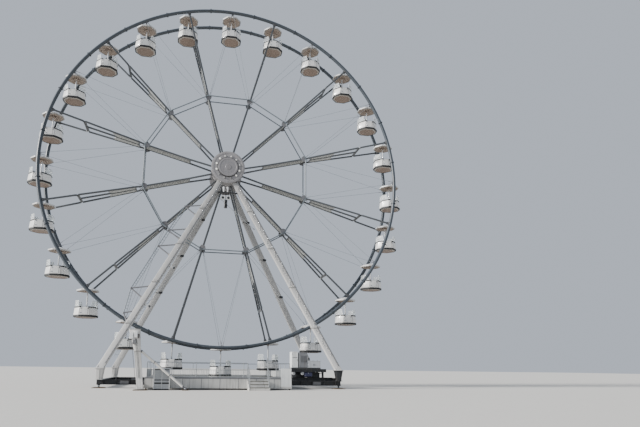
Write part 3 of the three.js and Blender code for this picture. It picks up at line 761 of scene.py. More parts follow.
def build_bolt_ring():
    """Hexagon bolts with washers on a circle, standing along +Z."""
    tree, given, out = new_group(
        "bolt_ring",
        {
            "Count": 8, "Circle Radius": 0.2, "Bolt Radius": 0.02, "Bolt Height": 0.02,
            "Material": "Material",
        },
        {"Geometry": "Geometry"},
        "GeometryNodeTree",
    )
    places = points_round(tree, given["Count"], given["Circle Radius"])
    bolt = cylinder(tree, 6, given["Bolt Radius"], given["Bolt Height"])
    washer_radius = combine(tree, given["Bolt Radius"], 1.5)
    washer = cylinder(tree, 10, washer_radius, combine(tree, given["Bolt Height"], 0.3))
    placed = realized(tree, placed_on(tree, places, joined(tree, bolt, washer)))
    feed(tree, out, {"Geometry": painted(tree, placed, given["Material"])})
    return tree


def build_row():
    """Copies of a given part in a straight row."""
    tree, given, out = new_group(
        "row",
        {"Part": "Object", "Count": 8, "Start": (0, 0, 0), "Step": (0, 0, 1)},
        {"Geometry": "Geometry"},
        "GeometryNodeTree",
    )
    line = {"Count": given["Count"], "Start Location": given["Start"], "Offset": given["Step"]}
    places = node(tree, "GeometryNodeMeshLine", line, mode="OFFSET").outputs[0]
    part = node(tree, "GeometryNodeObjectInfo", {"Object": given["Part"]}).outputs["Geometry"]
    feed(tree, out, {"Geometry": realized(tree, placed_on(tree, places, part))})
    return tree


def build_rim_tube():
    """A round tube bent to a full circle about the Y axis, with collars where its lengths join."""
    tree, given, out = new_group(
        "rim_tube",
        {
            "Radius": 16.0, "Tube Radius": 0.15, "Segments": 192, "Sides": 20, "Joints": 24,
            "Collar Radius": 0.2, "Collar Length": 0.05, "Material": "Material",
        },
        {"Geometry": "Geometry"},
        "GeometryNodeTree",
    )
    curves = []
    for resolution, radius in (("Segments", "Radius"), ("Sides", "Tube Radius")):
        inputs = {"Resolution": given[resolution], "Radius": given[radius]}
        curves.append(node(tree, "GeometryNodeCurvePrimitiveCircle", inputs).outputs["Curve"])
    swept = dict(zip(("Curve", "Profile Curve"), curves))
    tube = node(tree, "GeometryNodeCurveToMesh", swept).outputs[0]
    collar = cylinder(tree, 28, given["Collar Radius"], given["Collar Length"])
    aim = {"Vector": node(tree, "GeometryNodeInputPosition").outputs[0], "Rotation": (0.0, 0.0, 0.0)}
    across = node(tree, "FunctionNodeAlignRotationToVector", aim, axis="X").outputs[0]
    quarter = {0: across, 1: (math.pi / 2, 0.0, 0.0)}
    lay = node(tree, "FunctionNodeRotateRotation", quarter, rotation_space="LOCAL").outputs[0]
    joints = points_round(tree, given["Joints"], given["Radius"])
    both = realized(tree, joined(tree, tube, placed_on(tree, joints, collar, lay)))
    smooth = {"Geometry": painted(tree, both, given["Material"]), "Shade Smooth": True}
    feed(tree, out, {"Geometry": node(tree, "GeometryNodeSetShadeSmooth", smooth).outputs[0]})
    return tree


BOLT_RING = build_bolt_ring()
ROW = build_row()
RIM_TUBE_TREE = build_rim_tube()


def bolts(count, circle_radius, bolt_radius, height, look=BRIGHT_STEEL):
    """A ring of bolts about +Z."""
    values = {"Count": count, "Circle Radius": circle_radius, "Bolt Radius": bolt_radius}
    return grow(BOLT_RING, {**values, "Bolt Height": height, "Material": look})


def row(part, count, start, step):
    """A row of copies of a shape, made once by the node tree."""
    holder = linked("part", part.build("part"))
    mesh = grow(ROW, {"Part": holder, "Count": count, "Start": tuple(start), "Step": tuple(step)})
    bpy.data.objects.remove(holder)
    return mesh


def facing(at, normal):
    """A matrix that carries +Z to a normal at a point."""
    x_axis, y_axis = plane_axes(normal, AXIS_X if abs(normal.x) < 0.9 else AXIS_Z)
    return Matrix.Translation(Vector(at)) @ Matrix((x_axis, y_axis, normal)).transposed().to_4x4()


def round_hub(angle):
    """Places what was made along +Z from the origin at an angle round the hub, in degrees."""
    return Matrix.Translation(HUB) @ Matrix.Rotation(math.radians(angle), 4, "Y")


# Gondola

DOOR_HALF = 0.27
BUMPER_MIDDLE = -2.278
BUMPER_TALL = 0.172
SCREEN_FOOT = 0.46
SCREEN_HEAD = 0.53
BENCH_FRONT = 0.47
BENCH_TOP = -1.90
BENCH_HALF = 0.36
BENCH_BACK = 0.76


def inset(size, by):
    """An octagon's size with all its walls moved inwards."""
    x, y, cut = size
    return (x - by, y - by, cut - by * (2 - math.sqrt(2)))


def tub_size(z):
    """The octagon of the tub's outside between its band and its mouth."""
    t = (z - BAND_HIGH) / (MOUTH_Z - BAND_HIGH)
    return tuple(a + (b - a) * t for a, b in zip(BAND, MOUTH))


def octagons(*stations):
    """Rings of octagons, each given as its size, how far it is drawn in, and its height."""
    return [octagon(inset(size, by), z) for size, by, z in stations]


def gondola_tub(shape):
    """The octagonal tub: flat underside, light foot ring, white band, inner wall and tread floor."""
    wall = 0.05
    low, high = BAND_HIGH + 0.02, MOUTH_Z - 0.05
    rings = octagons(
        (FOOT, 0.075, FOOT_Z + 0.015), (FOOT, 0.06, FOOT_Z), (FOOT, 0.015, FOOT_Z),
        (FOOT, 0, FOOT_Z + 0.010), (BAND, 0.06, BAND_LOW - 0.012), (BAND, 0.03, BAND_LOW + 0.012),
        (BAND, 0.012, BAND_HIGH - 0.01), (tub_size(low), 0.004, low), (tub_size(high), 0, high),
        (MOUTH, 0.008, MOUTH_Z), (MOUTH, wall - 0.008, MOUTH_Z),
        (tub_size(MOUTH_Z - 0.04), wall, MOUTH_Z - 0.04), (BAND, 0.06, BAND_HIGH), (BAND, 0.07, FLOOR_Z),
    )
    shape.loft(rings, [TUB_BEIGE] * 3 + [FOOT_LIGHT] + [TUB_WHITE] * 5 + [TUB_INSIDE] * 4)
    outline = [point.xy for point in rings[-1]]
    shape.plate(outline, (0, 0, FLOOR_Z + 0.005), AXIS_Z, 0.01, TUB_TREAD)


def gondola_trims(shape):
    """The rubber bumper round the foot, the padded rail on the mouth and the joints of the facets."""
    bumper = octagon(inset(BAND, 0.044), BUMPER_MIDDLE, 0.06, 3)
    shape.sweep(rounded(BUMPER_TALL, 0.10, 0.028, 3), bumper, TUB_BLACK, AXIS_Z, False, True)
    rail_z = MOUTH_Z - 0.02
    mouth = octagon(inset(MOUTH, 0.030), rail_z, 0.06, 3)
    for sign in (-1, 1):
        side = [point for point in mouth if sign * point.x > 0]
        side.sort(key=lambda point: math.atan2(point.y, sign * point.x))
        first, last = (Vector((sign * DOOR_HALF, point.y, rail_z)) for point in (side[0], side[-1]))
        shape.sweep(circle(0.062), [first, *side, last], TUB_BLACK, AXIS_Z, True)
    for sx, sy in CORNERS:
        line = []
        for z in (BAND_HIGH + 0.02, MOUTH_Z - 0.08):
            x, y, cut = tub_size(z)
            line.append(Vector((sx * (x - cut), sy * y, z)))
        shape.sweep(rounded(0.016, 0.012, 0.004, 1), line, JOINT_DARK, AXIS_X)


def gondola_doors(shape):
    """A door in the front and one in the back, each with hinges, a latch and a grab bar."""
    foot, top = BAND_HIGH + 0.05, MOUTH_Z - 0.02
    for sy in (-1, 1):
        def at(x, z, out=0.0):
            return Vector((x, sy * (tub_size(z)[1] + out), z))
        rings = []
        for out, edge in ((-0.02, 0.0), (0.006, 0.0), (0.012, 0.008)):
            x, low, high = DOOR_HALF - 0.012 - edge, foot + edge, top - edge
            rings.append([at(px, pz, out) for px, pz in ((-x, low), (x, low), (x, high), (-x, high))])
        shape.loft(rings, DOOR_GREY)
        for x in (-DOOR_HALF, DOOR_HALF):
            shape.sweep(rounded(0.010, 0.008, 0.002, 1), [at(x, foot), at(x, top)], JOINT_DARK, AXIS_X)
        shape.rod(at(-DOOR_HALF, MOUTH_Z, -0.02), at(DOOR_HALF, MOUTH_Z, -0.02), 0.018, BRIGHT_STEEL)
        for z in (foot + 0.12, top - 0.12):
            x = -DOOR_HALF
            shape.box(at(x - 0.07, z - 0.025), at(x + 0.08, z + 0.025, 0.018), BRIGHT_STEEL)
            shape.rod(at(x, z - 0.04, 0.016), at(x, z + 0.04, 0.016), 0.012, BRIGHT_STEEL, 8)
        x = DOOR_HALF
        shape.box(at(x - 0.05, top - 0.16), at(x + 0.06, top - 0.10, 0.025), DARK_STEEL)


def screen_path(sign, size, z, start):
    """The plan of one end's screen, from its front edge round the end to its back edge."""
    x, y, cut = size
    near = y - (start - (x - cut))
    plan = ((start, -near), (x, cut - y), (x, y - cut), (start, near))
    return [Vector((sign * px, py, z)) for px, py in plan]


def gondola_screens(shape):
    """Clear wind screens round both ends, in slim bright frames."""
    outside, inside = 0.012, 0.020
    for sign in (-1, 1):
        edges = []
        for by in (outside, inside):
            edges.append(screen_path(sign, inset(MOUTH, by), MOUTH_Z + 0.01, SCREEN_FOOT))
            edges.append(screen_path(sign, inset(SCREEN_SIZE, by), SCREEN_Z - 0.012, SCREEN_HEAD))
        foot, head, inner_foot, inner_head = edges
        shape.loft([list(ring) for ring in zip(foot, head, inner_head, inner_foot)], SCREEN_CLEAR)
        shape.sweep(rounded(0.022, 0.018, 0.005, 1), head, SCREEN_FRAME, AXIS_Z)
        for low, high in zip(foot, head):
            shape.rod(low, high, 0.009, SCREEN_FRAME, 8)


def gondola_frame(shape):
    """The central pole, its plates and the axle that all of it hangs from."""
    shape.rod((0, 0, FLOOR_Z), (0, 0, ROOF_EDGE - 0.02), 0.055, POLE_GREY, 20)
    foot = [(0.15, 0), (0.15, 0.015), (0.08, 0.03), (0.06, 0.09)]
    shape.turned(foot, (0, 0, FLOOR_Z + 0.008), AXIS_Z, BRIGHT_STEEL, 20)
    shape.take_mesh(bolts(6, 0.115, 0.010, 0.014), Matrix.Translation((0, 0, FLOOR_Z + 0.028)))
    # Painted shade: the flared head of the pole takes the roof lining's beige, standing in for the shade
    # under the roof.
    head = [(0.20, 0), (0.20, 0.012), (0.10, 0.03), (0.06, 0.10)]
    shape.turned(head, (0, 0, ROOF_UNDER + 0.01), -AXIS_Z, ROOF_BEIGE, 20)
    middle = Vector((0, 0, FLOOR_Z + 0.66))
    shape.rod(middle - AXIS_Z * 0.04, middle, 0.075, DARK_STEEL, 16)
    turning_ring = [middle + Vector((x, y, 0)) for x, y in circle(0.24, 24)]
    shape.sweep(circle(0.016, 8), turning_ring, BRIGHT_STEEL, AXIS_Z, True, True)
    for i in range(3):
        turn = 2 * math.pi * i / 3 + 0.5
        out = middle + Vector((0.24 * math.cos(turn), 0.24 * math.sin(turn), 0))
        shape.rod(middle, out, 0.011, BRIGHT_STEEL, 8)
    shape.pin((0, 0, 0), AXIS_Y * (BRACKET_FACE - GAP), 0.05, BRIGHT_STEEL, 16)
    for sy in (-1, 1):
        shape.rod((0, sy * 0.86, 0), (0, sy * 0.97, 0), 0.072, DARK_STEEL, 16)
        shape.box((-0.07, sy * 0.70, -0.075), (0.07, sy * 0.78, 0.06), POLE_GREY)


def gondola_roof(shape):
    """A shallow octagonal roof with a rolled edge, and a dished lining with a light border."""
    rings = octagons(
        ((0.16, 0.16, 0.08), 0, ROOF_UNDER + 0.085), (ROOF, 0.13, ROOF_UNDER + 0.022),
        (ROOF, 0.12, ROOF_UNDER + 0.006), (ROOF, 0.10, ROOF_UNDER), (ROOF, 0.012, ROOF_UNDER),
        (ROOF, 0, ROOF_UNDER + 0.012), (ROOF, 0, ROOF_EDGE - 0.012), (ROOF, 0.014, ROOF_EDGE),
        ((0.56, 0.50, 0.30), 0, ROOF_EDGE + 0.10), ((0.22, 0.22, 0.12), 0, ROOF_CROWN - 0.012),
        ((0.19, 0.19, 0.10), 0, ROOF_CROWN),
    )
    shape.loft(rings, [ROOF_BEIGE] * 3 + [ROOF_BORDER] * 2 + [ROOF_SIDE] * 2 + [TUB_WHITE] * 3)
    for x, y in cut_corners(inset(ROOF, 0.13)):
        start = Vector((x * 0.2, y * 0.2, ROOF_UNDER + 0.068))
        end = Vector((x * 0.98, y * 0.98, ROOF_UNDER + 0.024))
        shape.bar(start, end, 0.03, 0.02, ROOF_BEIGE, (end - start).cross(AXIS_Z), 0.005)


def gondola_seats(shape):
    """Moulded benches at both ends, with backs that follow the tub's facets."""
    front, top, half, back = BENCH_FRONT, BENCH_TOP, BENCH_HALF, BENCH_BACK
    profile = (
        (back, FLOOR_Z), (front + 0.04, FLOOR_Z), (front, top - 0.06),
        (front + 0.03, top), (back - 0.16, top - 0.03), (back - 0.07, top + 0.03),
        (back - 0.02, MOUTH_Z - 0.07), (back, MOUTH_Z - 0.07),
    )
    wing = ((0.0, FLOOR_Z + 0.02), (0.0, top), (0.14, top + 0.02), (0.14, FLOOR_Z + 0.02))
    for sx in (-1, 1):
        rings = []
        for y, narrow in ((-half - 0.02, 0.012), (-half, 0.0), (half, 0.0), (half + 0.02, 0.012)):
            rings.append([Vector((sx * (px + narrow), y, pz - narrow)) for px, pz in profile])
        shape.loft(rings, SEAT_GREY)
        for sy in (-1, 1):
            rings = []
            for x, y in ((back - 0.02, half + 0.015), (back - 0.32, half + 0.275)):
                rings.append([Vector((sx * (x - 0.9 * a), sy * (y - 0.5 * a), z)) for a, z in wing])
            shape.loft(rings, SEAT_GREY)


def gondola_fittings(shape):
    """Bolts under the foot and small lamps round the edge of the roof."""
    for x, y in cut_corners(inset(FOOT, 0.04)):
        shape.rod((x, y, FOOT_Z + 0.004), (x, y, FOOT_Z - 0.006), 0.018, DARK_STEEL, 8)
    edge = [Vector((x, y, (ROOF_UNDER + ROOF_EDGE) / 2)) for x, y in cut_corners(ROOF)]
    for start, end in zip(edge, edge[1:] + edge[:1]):
        out = (end - start).cross(AXIS_Z).normalized()
        for t in (0.25, 0.5, 0.75):
            lamp = [(0.020, 0), (0.020, 0.004), (0.010, 0.011)]
            shape.turned(lamp, start.lerp(end, t), out, LAMP_WHITE, 8, side=AXIS_Z)


def make_gondolas():
    """All the gondolas, as copies of one at their pivots."""
    model = assembled(
        gondola_tub, gondola_trims, gondola_doors, gondola_screens, gondola_frame,
        gondola_roof, gondola_seats, gondola_fittings,
    ).build("gondola")
    for name, pivot in PIVOTS.items():
        mesh = model.copy()
        mesh.transform(Matrix.Translation(pivot))
        show(mesh, f"{name}_body", name, "gondola_shell", name)


# Spokes

def spoke_chords(shape):
    """Two chords from the hub to the elbow, and the U-shaped fork from there to the rims."""
    wide, deep = CHORD
    for sy in (-1, 1):
        path = [Vector((0, sy * y, r)) for r, y in ((HUB_FACE, FLANGE_Y), WAIST, NODE, FORK, ELBOW)]
        shape.sweep(rounded(wide, deep, 0.018, 2), path, SPOKE_GREY, AXIS_Y)
    bend = 0.22
    r, y = ELBOW[0] + FORK_GAP, ELBOW[1] - bend + 0.01
    half = [(0.0, r)]
    for angle in (math.radians(15 * i) for i in range(7)):
        half.append((y + bend * math.sin(angle), r + bend - bend * math.cos(angle)))
    half.append((RIM_Y, WHEEL_RADIUS - RIM_TUBE - 0.035))
    path = [Vector((0, -a, b)) for a, b in reversed(half[1:])] + [Vector((0, a, b)) for a, b in half]
    shape.sweep(rounded(deep, wide, 0.018, 2), path, SPOKE_GREY, AXIS_X)


def spoke_bars(shape):
    """Cross bars with gusset plates, and the middle bar of the outer part."""
    gusset = ((0.0, 0.0), (0.20, 0.0), (0.02, 0.24), (0.0, 0.24))
    for r, y in (WAIST, NODE, FORK, ELBOW):
        shape.bar((0, -y, r), (0, y, r), 0.10, 0.10, SPOKE_GREY, AXIS_X)
        for sy, sr in CORNERS:
            if (r, y) == ELBOW and sr > 0:
                continue
            corner = Vector((0, sy * (y - 0.04), r + sr * 0.04))
            points = [corner + Vector((0, -sy * a, sr * b)) for a, b in gusset]
            shape.fin(points, AXIS_X * 0.012, SPOKE_GREY)
    shape.bar((0, 0, FORK[0]), (0, 0, ELBOW[0]), 0.09, 0.15, SPOKE_GREY, AXIS_Y)


def panel_strip(shape, stations):
    """A flat board across X, through (radius, low y, high y) stations."""
    rings = []
    for x, by in ((-0.025, 0.004), (-0.021, 0), (0.021, 0), (0.025, 0.004)):
        edge = [Vector((x, low + by, r)) for r, low, _ in stations]
        rings.append(edge + [Vector((x, high - by, r)) for r, _, high in reversed(stations)])
    shape.loft(rings, PANEL_GREY)


def spoke_panels(shape):
    """Light boards: one inside the ring of ties, and two beside the middle bar."""
    lap = CHORD[0] / 2 - 0.01
    y = WAIST[1] - lap
    panel_strip(shape, [(WAIST[0] + 0.04, -y, y), (NODE[0] - 0.04, -y, y)])
    for sy in (-1, 1):
        for x in (-0.032, 0.032):
            a, b = (Vector((x, sy * 0.13, z)) for z in (WAIST[0] + 0.06, NODE[0] - 0.06))
            shape.bar(a, b, 0.03, 0.02, SPOKE_GREY, AXIS_Y, 0.004)
        stations = []
        for r in (FORK[0] + 0.04, PANEL_END - 0.35, PANEL_END):
            t = (r - FORK[0]) / (ELBOW[0] - FORK[0])
            out = FORK[1] + (ELBOW[1] - FORK[1]) * t - lap
            inner = 0.035 if r < PANEL_END else out * 0.55
            stations.append((r, inner, out) if sy > 0 else (r, -out, -inner))
        panel_strip(shape, stations)


def spoke_lamps(shape):
    """Rows of small round lamps on both faces of the boards."""
    bead = Shape()
    bead.turned([(0.036, 0), (0.040, 0.006), (0.034, 0.012)], (0, 0, 0), AXIS_X, DARK_STEEL, 10)
    bead.turned([(0.028, 0.012), (0.024, 0.028), (0.010, 0.036)], (0, 0, 0), AXIS_X, LAMP_WHITE, 10)
    for count, x, z, step in ((16, 0.024, WAIST[0] + 0.2, 0.25), (9, 0.076, FORK[0] + 0.25, 0.5)):
        line = row(bead, count, (x, 0, z), (0, 0, step))
        for turn in (0, math.pi):
            shape.take_mesh(line, Matrix.Rotation(turn, 4, "Z"), True)


def spoke_ends(shape):
    """The bolted plates at the hub and the saddles at the rims."""
    fin = ((0.07, -0.015), (0.16, -0.015), (0.07, -0.275))
    for sy in (-1, 1):
        root = Vector((0, sy * FLANGE_Y, HUB_FACE + 0.02))
        shape.plate(rounded(0.34, 0.15, 0.02, 2), root, AXIS_Z, 0.035, FLANGE_GREY)
        shape.take_mesh(bolts(4, 0.105, 0.014, 0.03), Matrix.Translation(root + AXIS_Z * 0.025))
        tip = Vector((0, sy * RIM_Y, WHEEL_RADIUS - RIM_TUBE - 0.03))
        shape.plate(rounded(0.30, 0.20, 0.03, 3), tip, AXIS_Z, 0.03, FLANGE_GREY)
        for sx in (-1, 1):
            shape.fin([tip + Vector((sx * a, 0, b)) for a, b in fin], AXIS_Y * 0.01, SPOKE_GREY)


def node_plates(shape):
    """Plates outside the chords, where the ties and the stay ropes are fixed."""
    for sy in (-1, 1):
        y = sy * (NODE[1] + CHORD[0] / 2 + 0.004)
        outline = [
            (-0.30, -0.10), (-0.12, -0.22), (0.12, -0.22), (0.30, -0.10), (0.16, 0.16), (-0.16, 0.16),
        ]
        shape.plate(outline, (0, y, RING_RADIUS + 0.02), AXIS_Y, 0.014, FLANGE_GREY)


def spoke_stays(shape):
    """Four taut stay ropes from the node to the rims, half way to the next spokes."""
    turn = math.radians(180 / SPOKES - 0.25)
    r = WHEEL_RADIUS - RIM_TUBE - 0.04
    for sx, sy in CORNERS:
        start = Vector((sx * 0.09, sy * NODE[1], NODE[0] - 0.03))
        end = Vector((sx * r * math.sin(turn), sy * RIM_Y, r * math.cos(turn)))
        shape.rod(start, end, 0.012, STAY_ROPE, 6)
        shape.rod(start, start.lerp(end, 0.05), 0.024, FLANGE_GREY, 8)
        shape.rod(start.lerp(end, 0.955), end, 0.024, FLANGE_GREY, 8)
        shape.pin(end, AXIS_Y * -0.012, 0.05, FLANGE_GREY)


def make_spokes():
    """All the spokes, as copies of one round the hub."""
    model = assembled(
        spoke_chords, spoke_bars, spoke_panels, spoke_lamps, spoke_ends, node_plates, spoke_stays,
    ).build("spoke")
    step = 360 / SPOKES
    for i in range(SPOKES):
        mesh = model.copy()
        mesh.transform(round_hub(step / 2 + i * step))
        name = f"spoke_{i + 1:02d}"
        show(mesh, f"{name}_steelwork", "wheel", "spoke_paint", name)


# Rims, rings and hub

def bearing(shape, place, sy):
    """A bearing housing for a gondola's axle on the inner side of a rim."""
    block = Shape()
    inner = BRACKET_FACE - RIM_Y
    block.box((-0.11, inner + 0.02, -0.11), (0.11, -0.08, 0.11), RIM_BLUE, 0.012)
    ring = [(0.085, 0), (0.095, 0.01), (0.095, 0.05)]
    block.turned(ring, (0, inner + 0.05, 0), -AXIS_Y, FLANGE_GREY, 20)
    turn = Matrix.Rotation(math.pi if sy < 0 else 0, 4, "Z")
    shape.take(block, place @ Matrix.Translation((0, sy * RIM_Y, WHEEL_RADIUS)) @ turn)


def make_rim(sy, name):
    """A rim of tube lengths with bolted collars, and the bearings of the gondolas."""
    shape = Shape()
    step = 360 / GONDOLAS
    tube = {
        "Radius": WHEEL_RADIUS, "Tube Radius": RIM_TUBE, "Segments": 192, "Sides": 20,
        "Joints": GONDOLAS, "Collar Radius": 0.205, "Collar Length": 0.06, "Material": RIM_BLUE,
    }
    plane = Matrix.Translation(AXIS_Y * (sy * RIM_Y))
    upright = Matrix.Rotation(math.pi / 2, 4, "X")
    shape.take_mesh(grow(RIM_TUBE_TREE, tube), plane @ round_hub(step / 2) @ upright, True)
    collar_bolts = bolts(10, 0.178, 0.013, 0.11, DARK_STEEL)
    for i in range(GONDOLAS):
        bearing(shape, round_hub(i * step), sy)
        joint = round_hub((i + 0.5) * step) @ Matrix.Translation((0, sy * RIM_Y, WHEEL_RADIUS))
        shape.take_mesh(collar_bolts, joint @ Matrix.Rotation(math.pi / 2, 4, "Y"))
    show_part(shape, name, "tube", "rim_paint", "wheel")


def make_ring(sy, name):
    """Twelve straight ties, each a tube with flattened ends."""
    tie = Shape()
    half = RING_RADIUS * math.tan(math.pi / SPOKES)
    tie.rod((-half + 0.2, 0, 0), (half - 0.2, 0, 0), 0.05, TIE_GREY, 14)
    for sx in (-1, 1):
        end = [(0.05, 0), (0.062, 0.01), (0.062, 0.09), (0.04, 0.14)]
        tie.turned(end, (sx * (half - 0.3), 0, 0), AXIS_X * sx, TIE_GREY, 14)
        tie.box((sx * (half - 0.22), -0.014, -0.055), (sx * (half + 0.01), 0.014, 0.055), TIE_GREY)
    shape = Shape()
    for i in range(SPOKES):
        shape.take(tie, round_hub(i * 360 / SPOKES) @ Matrix.Translation((0, sy * RING_Y, RING_RADIUS)))
    show_part(shape, name, "ties", "spoke_paint", "wheel")


def faceted(apothem, sides, steps):
    """Points along a regular polygon with corners at the top and between the spokes."""
    corners = [Vector(p) for p in circle(apothem / math.cos(math.pi / sides), sides)]
    points = []
    for corner, after in zip(corners, corners[1:] + corners[:1]):
        points += [corner.lerp(after, step / steps) for step in range(steps)]
    return points


def bored_plate(shape, outline, at, run, thick, look, edge=0.008):
    """A flat plate along run with the axle's hole through it."""
    x_axis, y_axis = plane_axes(run, AXIS_X)
    hole = [Vector(point).normalized() * AXLE_BORE for point in outline]
    reach = max(Vector(point).length for point in outline)
    rings = []
    stations = ((outline, 0, 1), (outline, edge, 0), (outline, thick - edge, 0), (outline, thick, 1))
    for points, height, cut in stations + ((hole, thick, 0), (hole, 0, 0)):
        scale = 1 - cut * edge / reach
        base = Vector(at) + run * height
        rings.append([base + (x_axis * x + y_axis * y) * scale for x, y in points])
    shape.loft(rings, look, False, True)


def hub_fin(shape, angle, x, y, half, outline):
    """An upright plate on a flange of the hub, its corners given as radius and distance from y."""
    fin = Shape()
    side = math.copysign(1, y)
    fin.fin([Vector((x, y + side * b, a)) for a, b in outline], AXIS_X * half, HUB_GREY)
    shape.take(fin, round_hub(angle))


def make_hub():
    """The drum with two twelve-sided flanges, ribs between them and bolt circles."""
    shape = Shape()
    flange = faceted(HUB_FACE - GAP, SPOKES, 4)
    for sy in (-1, 1):
        run = AXIS_Y * sy
        face = HUB + run * (FLANGE_Y + 0.075)
        bored_plate(shape, flange, HUB + run * (FLANGE_Y - 0.075), run, 0.15, HUB_GREY)
        shape.take_mesh(bolts(48, 1.27, 0.016, 0.03), facing(face, run))
        drum = [(0.56, 0), (0.56, 0.05), (0.54, 0.065), (AXLE_BORE, 0.065), (AXLE_BORE, 0)]
        shape.turned(drum, face, run, HUB_GREY, 40, 0.0, True)
        shape.take_mesh(bolts(16, 0.42, 0.02, 0.03), facing(face + run * 0.065, run))
    tube = [(0.56, 0), (0.56, 1.05), (0.50, 1.05), (0.50, 0)]
    shape.turned(tube, HUB - AXIS_Y * 0.525, AXIS_Y, HUB_GREY, 40, 0.0, True)
    rib = ((0.52, -0.45), (0.52, 0.0), (1.33, 0.0), (1.33, -0.06))
    fin = ((0.54, 0.0), (0.54, 0.10), (1.12, 0.0))
    for i in range(SPOKES):
        for sy in (-1, 1):
            hub_fin(shape, 30 * i, 0.0, sy * (FLANGE_Y - 0.07), 0.014, rib)
            for x in (-0.20, 0.20):
                hub_fin(shape, 30 * i + 15, x, sy * (FLANGE_Y + 0.075), 0.01, fin)
    show_part(shape, "hub", "drum", "hub_paint", "wheel")


# Legs, heads and discs

LEG_JOINTS = 5


def leg_point(sx, sy, z):
    """The centre line of a leg at a height."""
    t = (z - LEG_FOOT.z) / (LEG_TOP.z - LEG_FOOT.z)
    at = LEG_FOOT.lerp(LEG_TOP, t)
    return Vector((sx * at.x, sy * at.y, z))


def level_ring(sx, sy, z, more=0.0):
    """A leg's outline at a height, or a wider one."""
    centre = leg_point(sx, sy, z)
    outline = rounded(LEG_WIDTH + more, LEG_DEPTH + more, 0.03, 3)
    return [centre + Vector((x, y, 0)) for x, y in outline]


def leg_line(sx, sy, x, y, low, high, steps=1):
    """Points at a fixed offset from a leg's centre line, from one height to another."""
    heights = [low + (high - low) * i / steps for i in range(steps + 1)]
    return [leg_point(sx, sy, z) + Vector((x, y, 0)) for z in heights]


def leg_flange(shape, sx, sy, z, stations, look):
    """A plate round a leg through stations of height and extra width."""
    shape.loft([level_ring(sx, sy, z + dz, more) for dz, more in stations], look)


def leg_joint(shape, sx, sy, z):
    """Two bolted flanges where lengths of a leg meet, with ears for the lifting pins."""
    for low, high in ((-0.034, -0.002), (0.002, 0.034)):
        stations = ((low, 0.052), (low + 0.005, 0.06), (high - 0.005, 0.06), (high, 0.052))
        leg_flange(shape, sx, sy, z, stations, LEG_FLANGE)
    centre = leg_point(sx, sy, z)
    wide, deep = LEG_WIDTH / 2 + 0.016, LEG_DEPTH / 2 + 0.016
    places = [(x, y) for y in (-deep, deep) for x in (-0.2, 0.0, 0.2)]
    places += [(x, y) for x in (-wide, wide) for y in (-0.12, 0.12)]
    for x, y in places:
        shape.pin(centre + Vector((x, y, 0)), AXIS_Z * 0.05, 0.013, BRIGHT_STEEL, 6)
    for y in (-1, 1):
        ear = [centre + Vector(corner) for corner in ((-0.12, y * 0.215, 0.04), (0.12, y * 0.228, 0.20))]
        shape.box(*ear, LEG_CREAM)
    if sy > 0:
        lug = centre + Vector((0.17, -LEG_DEPTH / 2 - 0.03, 0))
        shape.block(lug, (0.17, 0.035, 0.10), DARK_STEEL, 0.02)
        shape.pin(lug, AXIS_X * 0.20, 0.028, BRIGHT_STEEL, 10)


def leg_conduit(shape, sx, sy):
    """A cable conduit and a thinner cable, clipped along a leg's outer face."""
    y = sy * (LEG_DEPTH / 2 + 0.026)
    low, high = LEG_FOOT.z + 0.35, LEG_TOP.z - 0.35
    for x, radius, look in ((0.20, 0.020, VENT_GREY), (0.145, 0.014, FLANGE_GREY)):
        shape.rod(*leg_line(sx, sy, x, y, low, high), radius, look, 8)
    clips = 22
    for i in range(clips):
        z = low + (high - low) * (i + 0.5) / clips
        at = leg_point(sx, sy, z) + Vector((0.17, y - 0.003, 0))
        shape.block(at, (0.06, 0.027, 0.02), BRIGHT_STEEL)


def leg_lights(shape, sx, sy):
    """A string of small lamps that winds along the middle of a leg's outer face."""
    low, high = LEG_FOOT.z + 1.2, LEG_TOP.z - 0.6
    count = 150
    path = []
    for i in range(count + 1):
        swing = 0.13 * math.sin(2 * math.pi * i / 12)
        at = leg_point(sx, sy, low + (high - low) * i / count)
        path.append(at + Vector((swing, sy * (LEG_DEPTH / 2 + 0.012), 0)))
    shape.sweep(circle(0.008, 6), path, LAMP_STRING, AXIS_Y, True)
    for at in path[::2]:
        shape.turned([(0.026, 0), (0.026, 0.008), (0.012, 0.024)], at, AXIS_Y * sy, LAMP_WHITE, 8)


def leg_ladder(shape, sx, sy):
    """A ladder beside a leg, for the riggers, held off it by short arms."""
    low, high = LEG_FOOT.z + 1.0, LEG_TOP.z - 3.0
    y = -sy * 0.12
    for x in (0.36, 0.66):
        shape.bar(*leg_line(sx, sy, sx * x, y, low, high), 0.045, 0.025, GALVANISED, AXIS_Y, 0.005)
    pitch = 0.33
    for i in range(int((high - low) / pitch)):
        at = leg_point(sx, sy, low + 0.15 + i * pitch) + Vector((sx * 0.36, y, 0))
        shape.rod(at, at + AXIS_X * (sx * 0.30), 0.014, GALVANISED, 6)
        if i % 6 == 0:
            shape.rod(at, at - AXIS_X * (sx * 0.10), 0.018, GALVANISED, 6)


